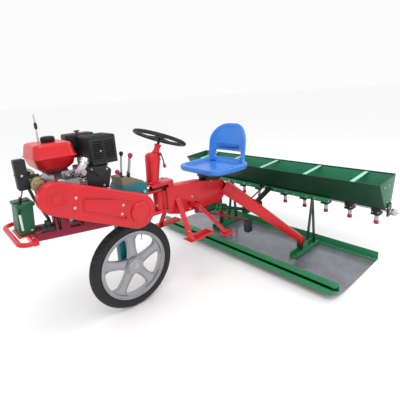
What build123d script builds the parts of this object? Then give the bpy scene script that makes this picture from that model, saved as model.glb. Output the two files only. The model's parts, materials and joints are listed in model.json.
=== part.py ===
from build123d import *
from math import cos, radians, sin
import os

os.makedirs("parts", exist_ok=True)

# Ride-on paddy seeder: one driven wheel in an articulated power head, a
# gooseneck with the driver's seat, and a float sled that carries the hopper.
# Millimetres, +X ahead, +Y to the driver's left, +Z up, ground at Z = 0.

RUN = 0.05           # radial clearance of a shaft in its bore
THRUST = 2.0         # axial gap at a hinge
MESH = 0.6           # gap between a turning sprocket and its chain

# Drive wheel, a 2.75-17 tyre on a cast five-spoke wheel
AXLE_X = 490.0
TYRE_R = 292.0
TYRE_W = 70.0
TYRE_SHOULDER = 26.0
RIM_R = 230.0
RIM_T = 24.0
RIM_INNER_R = RIM_R - RIM_T
RIM_W = 54.0
SPOKES = 5
SPOKE_T = 26.0
SPOKE_ROOT_R = 30.0
SPOKE_WAIST_L = 54.0
SPOKE_FLARE_L = 38.0
HUB_R = 58.0
HUB_W = 62.0
AXLE_R = 14.0
AXLE_COLLAR_R = 24.0
AXLE_TAIL = 4.0
AXLE_Z = TYRE_R

# Gearbox and final drive leg
BOX_X0 = 385.0
BOX_X1 = 560.0
BOX_Z0 = 630.0
BOX_Z1 = 852.0
BOX_Y1 = 112.0
BOX_SLOPE = 40.0
LEG_Y0 = -112.0
LEG_Y1 = -54.0
LEG_TOP = (475.0, 700.0)
LEG_TOP_R = 58.0
LEG_FOOT_R = 52.0
INPUT_R = 40.0
LID_H_FRONT = 46.0
LID_H_REAR = 10.0
LID_RIM = 14.0
LID_FLANGE = 6.0
LID_MARGIN = 4.0

# Kingpin between the head and the gooseneck
KING_X = 245.0
KING_R = 16.0
BARREL_R = 34.0
BARREL_Z0 = 604.0
BARREL_Z1 = 732.0
LUG_T = 22.0
LUG_R = 36.0
GEAR_R = 48.0
GEAR_T = 18.0

# Belt cover between engine and gearbox
COVER_Y0 = 135.0
COVER_Y1 = 190.0
COVER_FRONT = (926.0, 898.0)
COVER_FRONT_R = 84.0
COVER_REAR = (496.0, 705.0)
COVER_REAR_R = 104.0
COVER_BOSS_R = 52.0
COVER_BOSS_T = 16.0
COVER_EDGE = 10.0
COVER_BOSS_EDGE = 9.0
COVER_RAISE = 3.0
COVER_BEAD = 7.0
COVER_RINGS = (26.0, 50.0)
COVER_PANEL = ((806.0, 866.0), (562.0, 800.0), (596.0, 694.0), (812.0, 806.0))
COVER_PANEL_R = 22.0

# Engine rails, feet and bumper
RAIL_YS = (-30.0, 90.0)
RAIL_W = 36.0
RAIL_H = 40.0
RAIL_X1 = 1040.0
RAIL_Z_REAR = 632.0
RAIL_Z_FRONT = 690.0
FOOT_XS = (772.0, 885.0)
FOOT_L = 44.0
TIE_L = 30.0
BUMPER_X1 = 1115.0
BUMPER_Y = 188.0
BUMPER_R = 12.0
BUMPER_BEND = 52.0
BUMPER_BAR_L = 24.0
TRAY_T = 6.0
TRAY_X1 = 1100.0
TRAY_Y0 = -60.0
TRAY_Y1 = 92.0

# Engine
ENGINE_X0 = 740.0
ENGINE_X1 = 930.0
ENGINE_Y0 = -95.0
ENGINE_Y1 = 105.0
ENGINE_Z0 = 795.0
ENGINE_Z1 = 962.0
CRANK = (905.0, 890.0)
CRANK_R = 50.0
TANK_X0 = 742.0
TANK_X1 = 954.0
TANK_Y0 = -220.0
TANK_Y1 = 42.0
TANK_Z0 = 996.0
TANK_BELLY_Z = 1026.0
TANK_SEAM_Z = 1072.0
TANK_SEAM_T = 5.0
TANK_Z1 = 1146.0
TANK_BASE_INSET = 44.0
TANK_BELLY_INSET = 14.0
TANK_TOP_INSET = 12.0
TANK_LIP = 5.0
TANK_CORNER = 40.0
TANK_EDGE = 20.0
CAP_X = 842.0
CAP_R = 34.0
CAP_H = 28.0
MUFFLER_X0 = 520.0
MUFFLER_X1 = 680.0
MUFFLER_Y0 = -118.0
MUFFLER_Y1 = 55.0
MUFFLER_Z0 = 998.0
MUFFLER_Z1 = 1156.0
MUFFLER_EDGE = 14.0
SLOT_L = 54.0
SLOT_H = 5.0
SLOT_D = 4.0
SLOT_ROWS = 7
SLOT_PITCH = 13.0
SLOT_RISE = 8.0
SHROUD_HALF = 85.0
EXHAUST_R = 14.0
EXHAUST_X = 610.0
EXHAUST_Y = 30.0
CLEANER_X0 = 562.0
CLEANER_X1 = 732.0
CLEANER_Y0 = -238.0
CLEANER_Y1 = -126.0
CLEANER_Z0 = 1030.0
CLEANER_Z1 = 1166.0
NECK_PIPE_X = (620.0, 668.0)
NECK_PIPE_Z = (930.0, 984.0)
NECK_PIPE_IN = 40.0
CLEANER_EDGE = 24.0
RECOIL = (850.0, 885.0)
RECOIL_R = 94.0
RECOIL_T = 62.0
STARTER = (966.0, 965.0)
STARTER_R = 36.0
STARTER_Y0 = -30.0
STARTER_Y1 = 96.0
SWITCH_X1 = 1052.0
SWITCH_Y0 = 24.0
SWITCH_Y1 = 72.0
SWITCH_Z0 = 948.0
SWITCH_Z1 = 1098.0
BATTERY_Y0 = -50.0
BATTERY_Y1 = 80.0
BATTERY_X0 = 1022.0
BATTERY_X1 = 1090.0
BATTERY_LEAN = 14.0
BATTERY_Z1 = 884.0
BATTERY_LID = 16.0
BATTERY_RIM = 6.0
BATTERY_SLIT = 16.0

# Steering column and wheel
COLUMN_TILT = 24.0
COLUMN_X = 312.0
PLATE_Z = 798.0
PLATE_T = 6.0
PLATE_X0 = 140.0
PLATE_X1 = 352.0
PLATE_HALF = 64.0
PLATE_SKIRT = 22.0
POST_X1 = 184.0
HOUSING_FOOT = (276.0, 40.0)
HOUSING_HEAD = (256.0, 49.0)
HOUSING_Z = 950.0
HOUSING_TOP_Z = 996.0
HOUSING_DOME = 28.0
NECK_TUBE_L0 = 150.0
COLUMN_R = 19.0
COLUMN_L = 268.0
STEER_SHAFT_R = 9.0
STEER_SHAFT_L = 70.0
STEER_L = 312.0
STEER_RIM_R = 165.0
STEER_GRIP_R = 13.0
STEER_SPOKES = 3
STEER_SPOKE_W = 30.0
STEER_SPOKE_T = 9.0
STEER_HUB_R = 30.0
STEER_HUB_T = 34.0

# Gooseneck, arms, seat and foot controls
NECK_W = 90.0
NECK_X1 = 200.0
NECK_WEB_W = 56.0
ARM_TOP = (-345.0, 40.0, 628.0)
ARM_END = (-772.0, 456.0, 148.0)
ARM_TOP_W = 62.0
ARM_TOP_H = 104.0
ARM_END_W = 34.0
ARM_END_H = 54.0
PIN_X = -810.0
PIN_Y = 460.0
PIN_Z = 88.0
PIN_R = 10.0
EYE_W = 40.0
EYE_R = 26.0
SEAT_X0 = -478.0
SEAT_X1 = -84.0
SEAT_W = 470.0
SEAT_Z0 = 778.0
SEAT_T = 44.0
SEAT_CORNER = 110.0
SEAT_DISH = 22.0
SEAT_DISH_RIM = 34.0
SEAT_DISH_SLOPE = 32.0
SEAT_EDGE = 12.0
BACK_X = -456.0
BACK_LEAN = 9.5
BACK_T = 24.0
BACK_H = 310.0
BACK_W = 388.0
BACK_FOOT = 60.0
BACK_TOP_R = 160.0
BACK_BEND_R = 362.0
BACK_EDGE = 8.0
BACK_SLOT_W = 290.0
BACK_SLOT_H = 58.0
BACK_SLOT_Z = 62.0
BACK_SLOT_R = 16.0
BACK_RIBS = (112.0, 125.0, 138.0)
RIB_W = 250.0
RIB_H = 5.0
RIB_D = 3.0
SEAT_POST_X0 = -330.0
SEAT_POST_X1 = -160.0
SEAT_POST_W = 120.0
SEAT_POST_Z = 735.0
SEAT_POST_STEP = 40.0
SEAT_LUG_Z = 690.0
STEP_X0 = -40.0
STEP_X1 = 170.0
STEP_Y0 = 140.0
STEP_Y1 = 230.0
STEP_Z = 404.0
STEP_T = 8.0
STEP_BAR = (14.0, 36.0)
STEP_BAR_X = 136.0
STEP_ROOT = (119.0, 36.0, 668.0)
STEP_PAD_T = 3.0
STEP_PAD_X1 = 104.0
STEP_PAD_RIM = 8.0
PEDAL_X = 15.0
PEDAL_Z = 590.0
PEDAL_Y = 150.0
PEDAL_TUBE_R = 13.0
PEDAL_END = (-235.0, 154.0, 299.0)
PEDAL_BAR = (12.0, 26.0)
PEDAL_TREAD = (92.0, 70.0, 8.0)
LINK_Y = 54.0
LINK_START = (-40.0, 516.0)
LINK_END = (-598.0, 262.0)
LINK_R = 9.0
LINK_BLOCK = (56.0, 48.0, 106.0)
JOINT_BLOCK_X0 = -236.0
JOINT_BLOCK_X1 = -140.0
JOINT_BLOCK_HALF = 26.0
JOINT_BLOCK_Z0 = 455.0
DRIVE_START = (-230.0, 487.0)
DRIVE_END = (-620.0, 340.0)
JOINT_R = 30.0
JOINT_L = 160.0
DRIVE_R = 14.0
BELL_R = 37.0
BELL_WALL = 4.0
BELL_L = 48.0

# Sled
SLED_X0 = -1097.0
SLED_FLAT_X1 = -640.0
SLED_X1 = -375.0
SLED_HALF = 957.0
BOARD_T = 5.0
NOSE_RISE = 60.0
FRONT_FLANGE_L = 76.0
FRONT_FLANGE_T = 8.0
FRONT_BAND_L = 22.0
FRONT_BAND_Z0 = 44.0
FRONT_BAND_Z1 = 78.0
FRONT_BAND_EDGE = 9.0
FRONT_LIP_T = 9.0
FRONT_LIP_Z1 = 86.0
FRONT_SHELF_L = 62.0
FRONT_SHELF_Z1 = 98.0
SLED_CORNER = 60.0
REAR_FLANGE_L = 52.0
REAR_UPSTAND = 56.0
REAR_T = 6.0
CHANNEL_X0 = -1030.0
CHANNEL_X1 = -672.0
CHANNEL_W = 66.0
CHANNEL_H = 45.0
CHANNEL_T = 6.0
LUG_HALF_L = 34.0
LUG_TOP = 30.0

# Hopper
ROW_PITCH = 200.0
ROW_FIRST = 0.75 * ROW_PITCH
ROWS_A_SIDE = 5
HOPPER_HALF = ROW_FIRST + (ROWS_A_SIDE - 1) * ROW_PITCH + 76.0
HOPPER_WALL = 3.0
WALL_RUN = 3.6
FLOOR_Z = 474.0
FLOOR_X0 = -1065.0
FLOOR_X1 = -960.0
LIP_FRONT = (-829.0, 674.0)
LIP_REAR = (-1127.0, 697.0)
STRAP_W = 30.0
STRAP_T = 6.0
STRAP_DROP = 4.0
STRAP_SHARES = (-0.804, -0.429, 0.0, 0.429, 0.804)
STRAP_YS = [share * HOPPER_HALF for share in STRAP_SHARES]
BEAM_X1 = -946.0
BEAM_X0 = -982.0
BEAM_H = 40.0
BEAM_T = 6.0
BEAM_HALF = 615.0
LEG_Y = 460.0
LEG_BAR = (10.0, 28.0)
LEG_TRIM = 60.0
LEG_FEET_X = (-868.0, -1000.0)
LEG_APEX = (-962.0, 440.0)
METER_L = 70.0
METER_W = 60.0
METER_H = 70.0
SHAFT_X = -1022.0
SHAFT_Z = 442.0
SHAFT_R = 10.0
SHAFT_HALF = HOPPER_HALF + 70.0
COUPLING_R = 26.0
COUPLING_Y1 = SHAFT_HALF - 14.0
COUPLING_Y0 = COUPLING_Y1 - 30.0
BEARING_T = 10.0
BEARING_H = 95.0
TUBE_R = 15.0
TUBE_TIP_R = 18.0
TUBE_TIP_Z = 326.0
TUBE_JOIN_Z = 352.0

# Seed drive
CHAIN_Y = -60.0
CHAIN_T = 8.0
CHAIN_W = 14.0
SPROCKET_W = 8.0
SHAFT_SPROCKET_R = 20.0
REDUCER_SPROCKET_R = 38.0
REDUCER = (-755.0, 332.0)
REDUCER_L = 104.0
REDUCER_H = 96.0
REDUCER_Y0 = -44.0
REDUCER_Y1 = 50.0
STUB_R = 11.0
STUB_L = 46.0
HANGER_Y0 = 6.0
HANGER_Y1 = 42.0

ROWS = [side * (ROW_FIRST + ROW_PITCH * i) for side in (-1, 1) for i in range(ROWS_A_SIDE)]


def finish(builder, node):
    builder.part.label = node
    export_step(builder.part, f"parts/{node}.step")


def side(y):
    """Plane facing +Y at y; a point (x, z) of the side view is at (-x, z) on it."""
    return Plane(origin=(0, y, 0), x_dir=(-1, 0, 0), z_dir=(0, 1, 0))


def mirrored(points):
    """Side view points (x, z) as local points of a side plane."""
    return [(-x, z) for x, z in points]


def across(start, end):
    """Plane at start across the line to end, its local x level."""
    along = (Vector(*end) - Vector(*start)).normalized()
    level = along.cross(Vector(0, 0, 1)).normalized()
    return Plane(origin=start, x_dir=level, z_dir=along)


def span(start, end):
    return (Vector(*end) - Vector(*start)).length


def box_between(x, y, z, mode=Mode.ADD):
    """Box from its (low, high) pairs."""
    middle = ((x[0] + x[1]) / 2, (y[0] + y[1]) / 2, (z[0] + z[1]) / 2)
    with Locations(middle):
        return Box(x[1] - x[0], y[1] - y[0], z[1] - z[0], mode=mode)


def front_x(z):
    """Outer X of the hopper's front wall at height z."""
    return FLOOR_X1 + (LIP_FRONT[0] - FLOOR_X1) * (z - FLOOR_Z) / (LIP_FRONT[1] - FLOOR_Z)


def rear_x(z):
    """Outer X of the hopper's rear wall at height z."""
    return FLOOR_X0 + (LIP_REAR[0] - FLOOR_X0) * (z - FLOOR_Z) / (LIP_REAR[1] - FLOOR_Z)


def rail_top(x):
    """Top of the sloping engine rails at x."""
    rise = (RAIL_Z_FRONT - RAIL_Z_REAR) * (x - BOX_X1) / (RAIL_X1 - BOX_X1)
    return RAIL_Z_REAR + RAIL_H + rise


# Drive wheel
wheel_axis = Axis((AXLE_X, 0, AXLE_Z), (0, 1, 0))
wheel_section = Plane(origin=(AXLE_X, 0, AXLE_Z), x_dir=(0, 0, 1), z_dir=(1, 0, 0))
wheel_face = Plane(origin=(AXLE_X, 0, AXLE_Z), x_dir=(-1, 0, 0), z_dir=(0, 1, 0))

with BuildPart() as tyre:
    with BuildSketch(wheel_section):
        with Locations(((TYRE_R + RIM_R) / 2, 0)):
            Rectangle(TYRE_R - RIM_R, TYRE_W)
    revolve(axis=wheel_axis)
    shoulder = min(TYRE_SHOULDER, (TYRE_R - RIM_R) / 2)
    fillet(tyre.edges().filter_by(GeomType.CIRCLE).group_by(SortBy.RADIUS)[-1], shoulder)
finish(tyre, "tyre")

# half width of a spoke at each radius
SPOKE_SHAPE = (
    (HUB_R - 12, 34),
    (HUB_R + SPOKE_WAIST_L, 27),
    (RIM_INNER_R - SPOKE_FLARE_L, 30),
    (RIM_INNER_R + 6, 58),
)
spoke_outline = list(SPOKE_SHAPE) + [(r, -w) for r, w in reversed(SPOKE_SHAPE)]

with BuildPart() as wheel_rim:
    with BuildSketch(wheel_section):
        with Locations(((RIM_R + RIM_INNER_R) / 2, 0)):
            Rectangle(RIM_R - RIM_INNER_R, RIM_W)
    revolve(axis=wheel_axis)
    with BuildSketch(wheel_face):
        Circle(HUB_R)
    extrude(amount=HUB_W / 2, both=True)
    with BuildSketch(wheel_face) as spokes:
        Circle(RIM_INNER_R + 6)
        Circle(RIM_INNER_R, mode=Mode.SUBTRACT)
        with PolarLocations(0, SPOKES, start_angle=90):
            Polygon(*spoke_outline, align=None)
        roots = [corner for corner in spokes.vertices() if abs(Vector(corner).length - RIM_INNER_R) < 1]
        fillet(roots, SPOKE_ROOT_R)
    extrude(amount=SPOKE_T / 2, both=True)
finish(wheel_rim, "wheel_rim")

with BuildPart() as axle:
    with BuildSketch(side(LEG_Y0 + AXLE_TAIL)):
        with Locations((-AXLE_X, AXLE_Z)):
            Circle(AXLE_R)
    extrude(amount=-HUB_W / 2 - LEG_Y0 - AXLE_TAIL)
    with BuildSketch(side(LEG_Y1 + THRUST)):
        with Locations((-AXLE_X, AXLE_Z)):
            Circle(AXLE_COLLAR_R)
    extrude(amount=-HUB_W / 2 - LEG_Y1 - THRUST)
finish(axle, "axle")

# Power head: gearbox, final drive, kingpin
with BuildPart() as final_drive:
    with BuildSketch(side(LEG_Y0)):
        with Locations((-LEG_TOP[0], LEG_TOP[1])):
            Circle(LEG_TOP_R)
        with Locations((-AXLE_X, AXLE_Z)):
            Circle(LEG_FOOT_R)
        make_hull()
        with Locations((-AXLE_X, AXLE_Z)):
            Circle(AXLE_R + RUN, mode=Mode.SUBTRACT)
    extrude(amount=LEG_Y1 - LEG_Y0)
finish(final_drive, "final_drive")

LUG_LOW = BARREL_Z0 - THRUST - LUG_T
LUG_HIGH = BARREL_Z1 + THRUST
box_outline = (
    (BOX_X0, LUG_LOW),
    (BOX_X0 + 12, LUG_LOW),
    (BOX_X0 + 58, BOX_Z0),
    (BOX_X1, BOX_Z0),
    (BOX_X1, BOX_Z1 - BOX_SLOPE),
    (BOX_X1 - BOX_SLOPE / 2, BOX_Z1),
    (BOX_X0 + 16, BOX_Z1),
    (BOX_X0, BOX_Z1 - BOX_SLOPE / 2),
)

with BuildPart() as gearbox:
    with BuildSketch(side(LEG_Y1)):
        Polygon(*mirrored(box_outline), align=None)
    extrude(amount=BOX_Y1 - LEG_Y1)
    with BuildSketch(side(BOX_Y1)):
        with Locations((-COVER_REAR[0], COVER_REAR[1])):
            Circle(INPUT_R)
    extrude(amount=COVER_Y0 - BOX_Y1)
    for z in (LUG_LOW, LUG_HIGH):
        with BuildSketch(Plane.XY.offset(z)):
            with Locations((KING_X, 0)):
                Circle(LUG_R)
            with Locations(((KING_X + BOX_X0) / 2, 0)):
                Rectangle(BOX_X0 - KING_X, 2 * LUG_R)
            with Locations((KING_X, 0)):
                Circle(KING_R + RUN, mode=Mode.SUBTRACT)
        extrude(amount=LUG_T)
finish(gearbox, "gearbox")

lid_outline = (
    (BOX_X0 + 20, BOX_Z1),
    (BOX_X1 - BOX_SLOPE / 2 - 4, BOX_Z1),
    (BOX_X1 - BOX_SLOPE / 2, BOX_Z1 + LID_H_FRONT),
    (BOX_X1 - BOX_SLOPE / 2 - 34, BOX_Z1 + LID_H_FRONT),
    (BOX_X0 + 24, BOX_Z1 + LID_H_REAR),
)

with BuildPart() as gearbox_lid:
    with BuildSketch(side(LEG_Y1 + LID_RIM)):
        Polygon(*mirrored(lid_outline), align=None)
    extrude(amount=BOX_Y1 - LEG_Y1 - 2 * LID_RIM)
    box_between(
        (BOX_X0 + 18, BOX_X1 - BOX_SLOPE / 2 - 2),
        (LEG_Y1 + LID_MARGIN, BOX_Y1 - LID_MARGIN),
        (BOX_Z1, BOX_Z1 + LID_FLANGE),
    )
finish(gearbox_lid, "gearbox_lid")

with BuildPart() as kingpin:
    with BuildSketch(Plane.XY.offset(LUG_LOW)):
        with Locations((KING_X, 0)):
            Circle(KING_R)
    extrude(amount=LUG_HIGH + LUG_T - LUG_LOW)
    with BuildSketch(Plane.XY.offset(LUG_HIGH + LUG_T)):
        with Locations((KING_X, 0)):
            Circle(GEAR_R)
    extrude(amount=GEAR_T)
finish(kingpin, "kingpin")

with BuildPart() as belt_cover:
    with BuildSketch(side(COVER_Y0)):
        with Locations((-COVER_FRONT[0], COVER_FRONT[1])):
            Circle(COVER_FRONT_R)
        with Locations((-COVER_REAR[0], COVER_REAR[1])):
            Circle(COVER_REAR_R)
        make_hull()
    extrude(amount=COVER_Y1 - COVER_Y0)
    fillet(belt_cover.faces().sort_by(Axis.Y)[-1].edges(), COVER_EDGE)
    with BuildSketch(side(COVER_Y1)) as raised:
        Polygon(*mirrored(COVER_PANEL), align=None)
        fillet(raised.vertices(), COVER_PANEL_R)
        for ring_r in COVER_RINGS:
            with Locations((-COVER_FRONT[0], COVER_FRONT[1])):
                Circle(ring_r)
                Circle(ring_r - COVER_BEAD, mode=Mode.SUBTRACT)
    extrude(amount=COVER_RAISE)
    with BuildSketch(side(COVER_Y1)):
        with Locations((-COVER_REAR[0], COVER_REAR[1])):
            Circle(COVER_BOSS_R)
    extrude(amount=COVER_BOSS_T)
    fillet(belt_cover.faces().sort_by(Axis.Y)[-1].edges(), COVER_BOSS_EDGE)
finish(belt_cover, "belt_cover")

# Engine rails with the engine's feet, and a tie plate at the front
rail_outline = (
    (BOX_X1, RAIL_Z_REAR),
    (RAIL_X1, RAIL_Z_FRONT),
    (RAIL_X1, RAIL_Z_FRONT + RAIL_H),
    (BOX_X1, RAIL_Z_REAR + RAIL_H),
)

with BuildPart() as head_rails:
    for rail_y in RAIL_YS:
        with BuildSketch(side(rail_y - RAIL_W / 2)):
            Polygon(*mirrored(rail_outline), align=None)
            for foot_x in FOOT_XS:
                low, high = foot_x - FOOT_L / 2, foot_x + FOOT_L / 2
                foot = (
                    (low, rail_top(low)),
                    (high, rail_top(high)),
                    (high, ENGINE_Z0),
                    (low, ENGINE_Z0),
                )
                Polygon(*mirrored(foot), align=None)
        extrude(amount=RAIL_W)
    box_between(
        (RAIL_X1 - TIE_L, RAIL_X1),
        (RAIL_YS[0], RAIL_YS[1]),
        (RAIL_Z_FRONT, RAIL_Z_FRONT + RAIL_H / 2),
    )
finish(head_rails, "head_rails")

RAIL_FRONT_TOP = RAIL_Z_FRONT + RAIL_H
BUMPER_Z = RAIL_FRONT_TOP - BUMPER_R
bumper_path = (
    (RAIL_X1 + BUMPER_BAR_L / 2, -BUMPER_Y, BUMPER_Z),
    (BUMPER_X1, -BUMPER_Y, BUMPER_Z),
    (BUMPER_X1, BUMPER_Y, BUMPER_Z),
    (RAIL_X1 + BUMPER_BAR_L / 2, BUMPER_Y, BUMPER_Z),
)

with BuildPart() as front_bumper:
    with BuildLine():
        FilletPolyline(*bumper_path, radius=BUMPER_BEND)
    with BuildSketch(Plane(origin=bumper_path[0], z_dir=(1, 0, 0))):
        Circle(BUMPER_R)
    sweep()
    box_between(
        (RAIL_X1, RAIL_X1 + BUMPER_BAR_L),
        (-BUMPER_Y - BUMPER_R, BUMPER_Y + BUMPER_R),
        (BUMPER_Z - BUMPER_R, RAIL_FRONT_TOP),
    )
    box_between(
        (RAIL_X1, TRAY_X1),
        (TRAY_Y0, TRAY_Y1),
        (RAIL_FRONT_TOP - TRAY_T, RAIL_FRONT_TOP),
    )
finish(front_bumper, "front_bumper")

battery_outline = (
    (BATTERY_X0, RAIL_FRONT_TOP),
    (BATTERY_X1, RAIL_FRONT_TOP),
    (BATTERY_X1 - BATTERY_LEAN, BATTERY_Z1),
    (BATTERY_X0 - BATTERY_LEAN, BATTERY_Z1),
)

with BuildPart() as battery_box:
    with BuildSketch(side(BATTERY_Y0)):
        Polygon(*mirrored(battery_outline), align=None)
    extrude(amount=BATTERY_Y1 - BATTERY_Y0)
    box_between(
        (BATTERY_X1 - BATTERY_SLIT - BATTERY_LEAN / 2, BATTERY_X1 + BATTERY_SLIT),
        (BATTERY_Y1 - BATTERY_SLIT, BATTERY_Y1 + BATTERY_SLIT),
        (RAIL_FRONT_TOP + BATTERY_LID, BATTERY_Z1 - 2 * BATTERY_LID),
        mode=Mode.SUBTRACT,
    )
    box_between(
        (BATTERY_X0 - BATTERY_LEAN - BATTERY_RIM, BATTERY_X1 - BATTERY_LEAN + BATTERY_RIM),
        (BATTERY_Y0 - BATTERY_RIM, BATTERY_Y1 + BATTERY_RIM),
        (BATTERY_Z1 - BATTERY_LID, BATTERY_Z1),
    )
finish(battery_box, "battery_box")

# Engine
TANK_MID = ((TANK_X0 + TANK_X1) / 2, (TANK_Y0 + TANK_Y1) / 2)
TANK_L = TANK_X1 - TANK_X0
TANK_W = TANK_Y1 - TANK_Y0

with BuildPart() as engine_block:
    box_between((ENGINE_X0, ENGINE_X1), (ENGINE_Y0, ENGINE_Y1), (ENGINE_Z0, ENGINE_Z1))
    chamfer(engine_block.edges().filter_by(Axis.Y).group_by(Axis.Z)[-1], 30)
    with BuildSketch(side(ENGINE_Y1)):
        with Locations((-CRANK[0], CRANK[1])):
            Circle(CRANK_R)
    extrude(amount=COVER_Y0 - ENGINE_Y1)
    for post_y in (ENGINE_Y0 + 10, TANK_Y1 - TANK_BASE_INSET - 34):
        box_between(
            (TANK_X0 + TANK_BASE_INSET, TANK_X1 - TANK_BASE_INSET - 12),
            (post_y, post_y + 26),
            (ENGINE_Z1, TANK_Z0),
        )
finish(engine_block, "engine_block")

# inset of the fuel tank's outline at each height
TANK_LEVELS = (
    ((TANK_Z0, TANK_BASE_INSET), (TANK_BELLY_Z, TANK_BELLY_INSET)),
    ((TANK_BELLY_Z, TANK_BELLY_INSET), (TANK_SEAM_Z, 0.0)),
    ((TANK_SEAM_Z + TANK_SEAM_T, 0.0), (TANK_Z1, TANK_TOP_INSET)),
)

with BuildPart() as fuel_tank:
    for levels in TANK_LEVELS:
        for z, inset in levels:
            with BuildSketch(Plane.XY.offset(z)):
                with Locations(TANK_MID):
                    RectangleRounded(TANK_L - 2 * inset, TANK_W - 2 * inset, TANK_CORNER)
        loft()
    with BuildSketch(Plane.XY.offset(TANK_SEAM_Z)):
        with Locations(TANK_MID):
            RectangleRounded(TANK_L + 2 * TANK_LIP, TANK_W + 2 * TANK_LIP, TANK_CORNER)
    extrude(amount=TANK_SEAM_T)
    top_edges = fuel_tank.faces().sort_by(Axis.Z)[-1].edges()
    fillet(top_edges, TANK_EDGE)
finish(fuel_tank, "fuel_tank")

with BuildPart() as fuel_cap:
    with BuildSketch(Plane.XY.offset(TANK_Z1)):
        with Locations((CAP_X, TANK_MID[1])):
            Circle(CAP_R)
    extrude(amount=CAP_H)
    fillet(fuel_cap.faces().sort_by(Axis.Z)[-1].edges(), 5)
finish(fuel_cap, "fuel_cap")

MUFFLER_MID_X = (MUFFLER_X0 + MUFFLER_X1) / 2
MUFFLER_MID_Z = (MUFFLER_Z0 + MUFFLER_Z1) / 2
shroud_outline = (
    (ENGINE_X0, 872.0),
    (ENGINE_X0, 1000.0),
    (606.0, 988.0),
    (584.0, 962.0),
    (612.0, 862.0),
)

with BuildPart() as head_shroud:
    with BuildSketch(side(-SHROUD_HALF)):
        Polygon(*mirrored(shroud_outline), align=None)
    extrude(amount=2 * SHROUD_HALF)
    fillet(head_shroud.edges().filter_by(Axis.Y).group_by(Axis.X)[0], 16)
finish(head_shroud, "head_shroud")

with BuildPart() as muffler:
    box_between((MUFFLER_X0, MUFFLER_X1), (MUFFLER_Y0, MUFFLER_Y1), (MUFFLER_Z0, MUFFLER_Z1))
    fillet(muffler.edges().filter_by(Axis.Z), MUFFLER_EDGE)
    fillet(muffler.faces().sort_by(Axis.Z)[-1].edges(), MUFFLER_EDGE / 2)
    with BuildSketch(side(MUFFLER_Y1)):
        with Locations((-MUFFLER_MID_X, MUFFLER_MID_Z + SLOT_RISE)):
            with GridLocations(SLOT_L + 12, SLOT_PITCH, 2, SLOT_ROWS):
                Rectangle(SLOT_L, SLOT_H)
    extrude(amount=-SLOT_D, mode=Mode.SUBTRACT)
    with BuildSketch(Plane.XY.offset(MUFFLER_Z0)):
        with Locations((EXHAUST_X, EXHAUST_Y)):
            Circle(EXHAUST_R)
    extrude(amount=-60)
    add(head_shroud.part, mode=Mode.SUBTRACT)
finish(muffler, "muffler")

with BuildPart() as air_cleaner:
    box_between((CLEANER_X0, CLEANER_X1), (CLEANER_Y0, CLEANER_Y1), (CLEANER_Z0, CLEANER_Z1))
    fillet(air_cleaner.edges().filter_by(Axis.Z), CLEANER_EDGE)
    fillet(air_cleaner.faces().sort_by(Axis.Z)[-1].edges(), CLEANER_EDGE / 2)
    box_between(NECK_PIPE_X, (CLEANER_Y0 + NECK_PIPE_IN, -SHROUD_HALF), (NECK_PIPE_Z[0], CLEANER_Z0))
    box_between(NECK_PIPE_X, (CLEANER_Y1, -SHROUD_HALF), (NECK_PIPE_Z[1], CLEANER_Z0), mode=Mode.SUBTRACT)
finish(air_cleaner, "air_cleaner")

with BuildPart() as recoil_cover:
    with BuildSketch(side(ENGINE_Y0)):
        with Locations((-RECOIL[0], RECOIL[1])):
            Circle(RECOIL_R)
    extrude(amount=-RECOIL_T)
    fillet(recoil_cover.faces().sort_by(Axis.Y)[0].edges(), 20)
finish(recoil_cover, "recoil_cover")

with BuildPart() as starter_motor:
    with BuildSketch(side(STARTER_Y0)):
        with Locations((-STARTER[0], STARTER[1])):
            Circle(STARTER_R)
    extrude(amount=STARTER_Y1 - STARTER_Y0)
    fillet(starter_motor.faces().sort_by(Axis.Y)[-1].edges(), 8)
    box_between(
        (ENGINE_X1, STARTER[0]),
        (STARTER_Y0 + 10, STARTER_Y0 + 50),
        (STARTER[1] - 50, STARTER[1]),
    )
finish(starter_motor, "starter_motor")

SWITCH_X0 = STARTER[0] + STARTER_R

with BuildPart() as switch_box:
    box_between((SWITCH_X0, SWITCH_X1), (SWITCH_Y0, SWITCH_Y1), (SWITCH_Z0, SWITCH_Z1))
    fillet(switch_box.edges().filter_by(Axis.Y), 8)
    box_between(
        (STARTER[0] - 16, SWITCH_X0 + 6),
        (SWITCH_Y0 + 8, SWITCH_Y1 - 8),
        (STARTER[1] + STARTER_R, STARTER[1] + STARTER_R + 10),
    )
finish(switch_box, "switch_box")

# hand levers: foot on the gearbox, knob centre, knob radius
LEVERS = (
    ((489.0, -12.0), (468.0, -8.0, 1026.0), 13.0),
    ((462.0, 34.0), (424.0, 20.0, 1010.0), 15.0),
    ((512.0, 66.0), (540.0, 58.0, 934.0), 14.0),
    ((436.0, -30.0), (404.0, -26.0, 1004.0), 10.0),
)
LEVER_R = 6.0
STICK = ((850.0, -128.0, 970.0), (850.0, -252.0, 996.0), (846.0, -252.0, 1292.0))
STICK_R = 5.0

with BuildPart() as lever_knobs:
    for foot, knob, knob_r in LEVERS:
        with Locations(knob):
            Sphere(knob_r)

with BuildPart() as hand_levers:
    for foot, knob, knob_r in LEVERS:
        start = (foot[0], foot[1], BOX_Z1)
        with BuildSketch(across(start, knob)):
            Circle(LEVER_R)
        extrude(amount=span(start, knob))
    add(gearbox.part, mode=Mode.SUBTRACT)
    add(gearbox_lid.part, mode=Mode.SUBTRACT)
    with BuildLine():
        FilletPolyline(*STICK, radius=40)
    with BuildSketch(across(STICK[0], STICK[1])):
        Circle(STICK_R)
    sweep()
    add(recoil_cover.part, mode=Mode.SUBTRACT)
finish(hand_levers, "hand_levers")

lever_knobs.part -= hand_levers.part
finish(lever_knobs, "lever_knobs")

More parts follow.
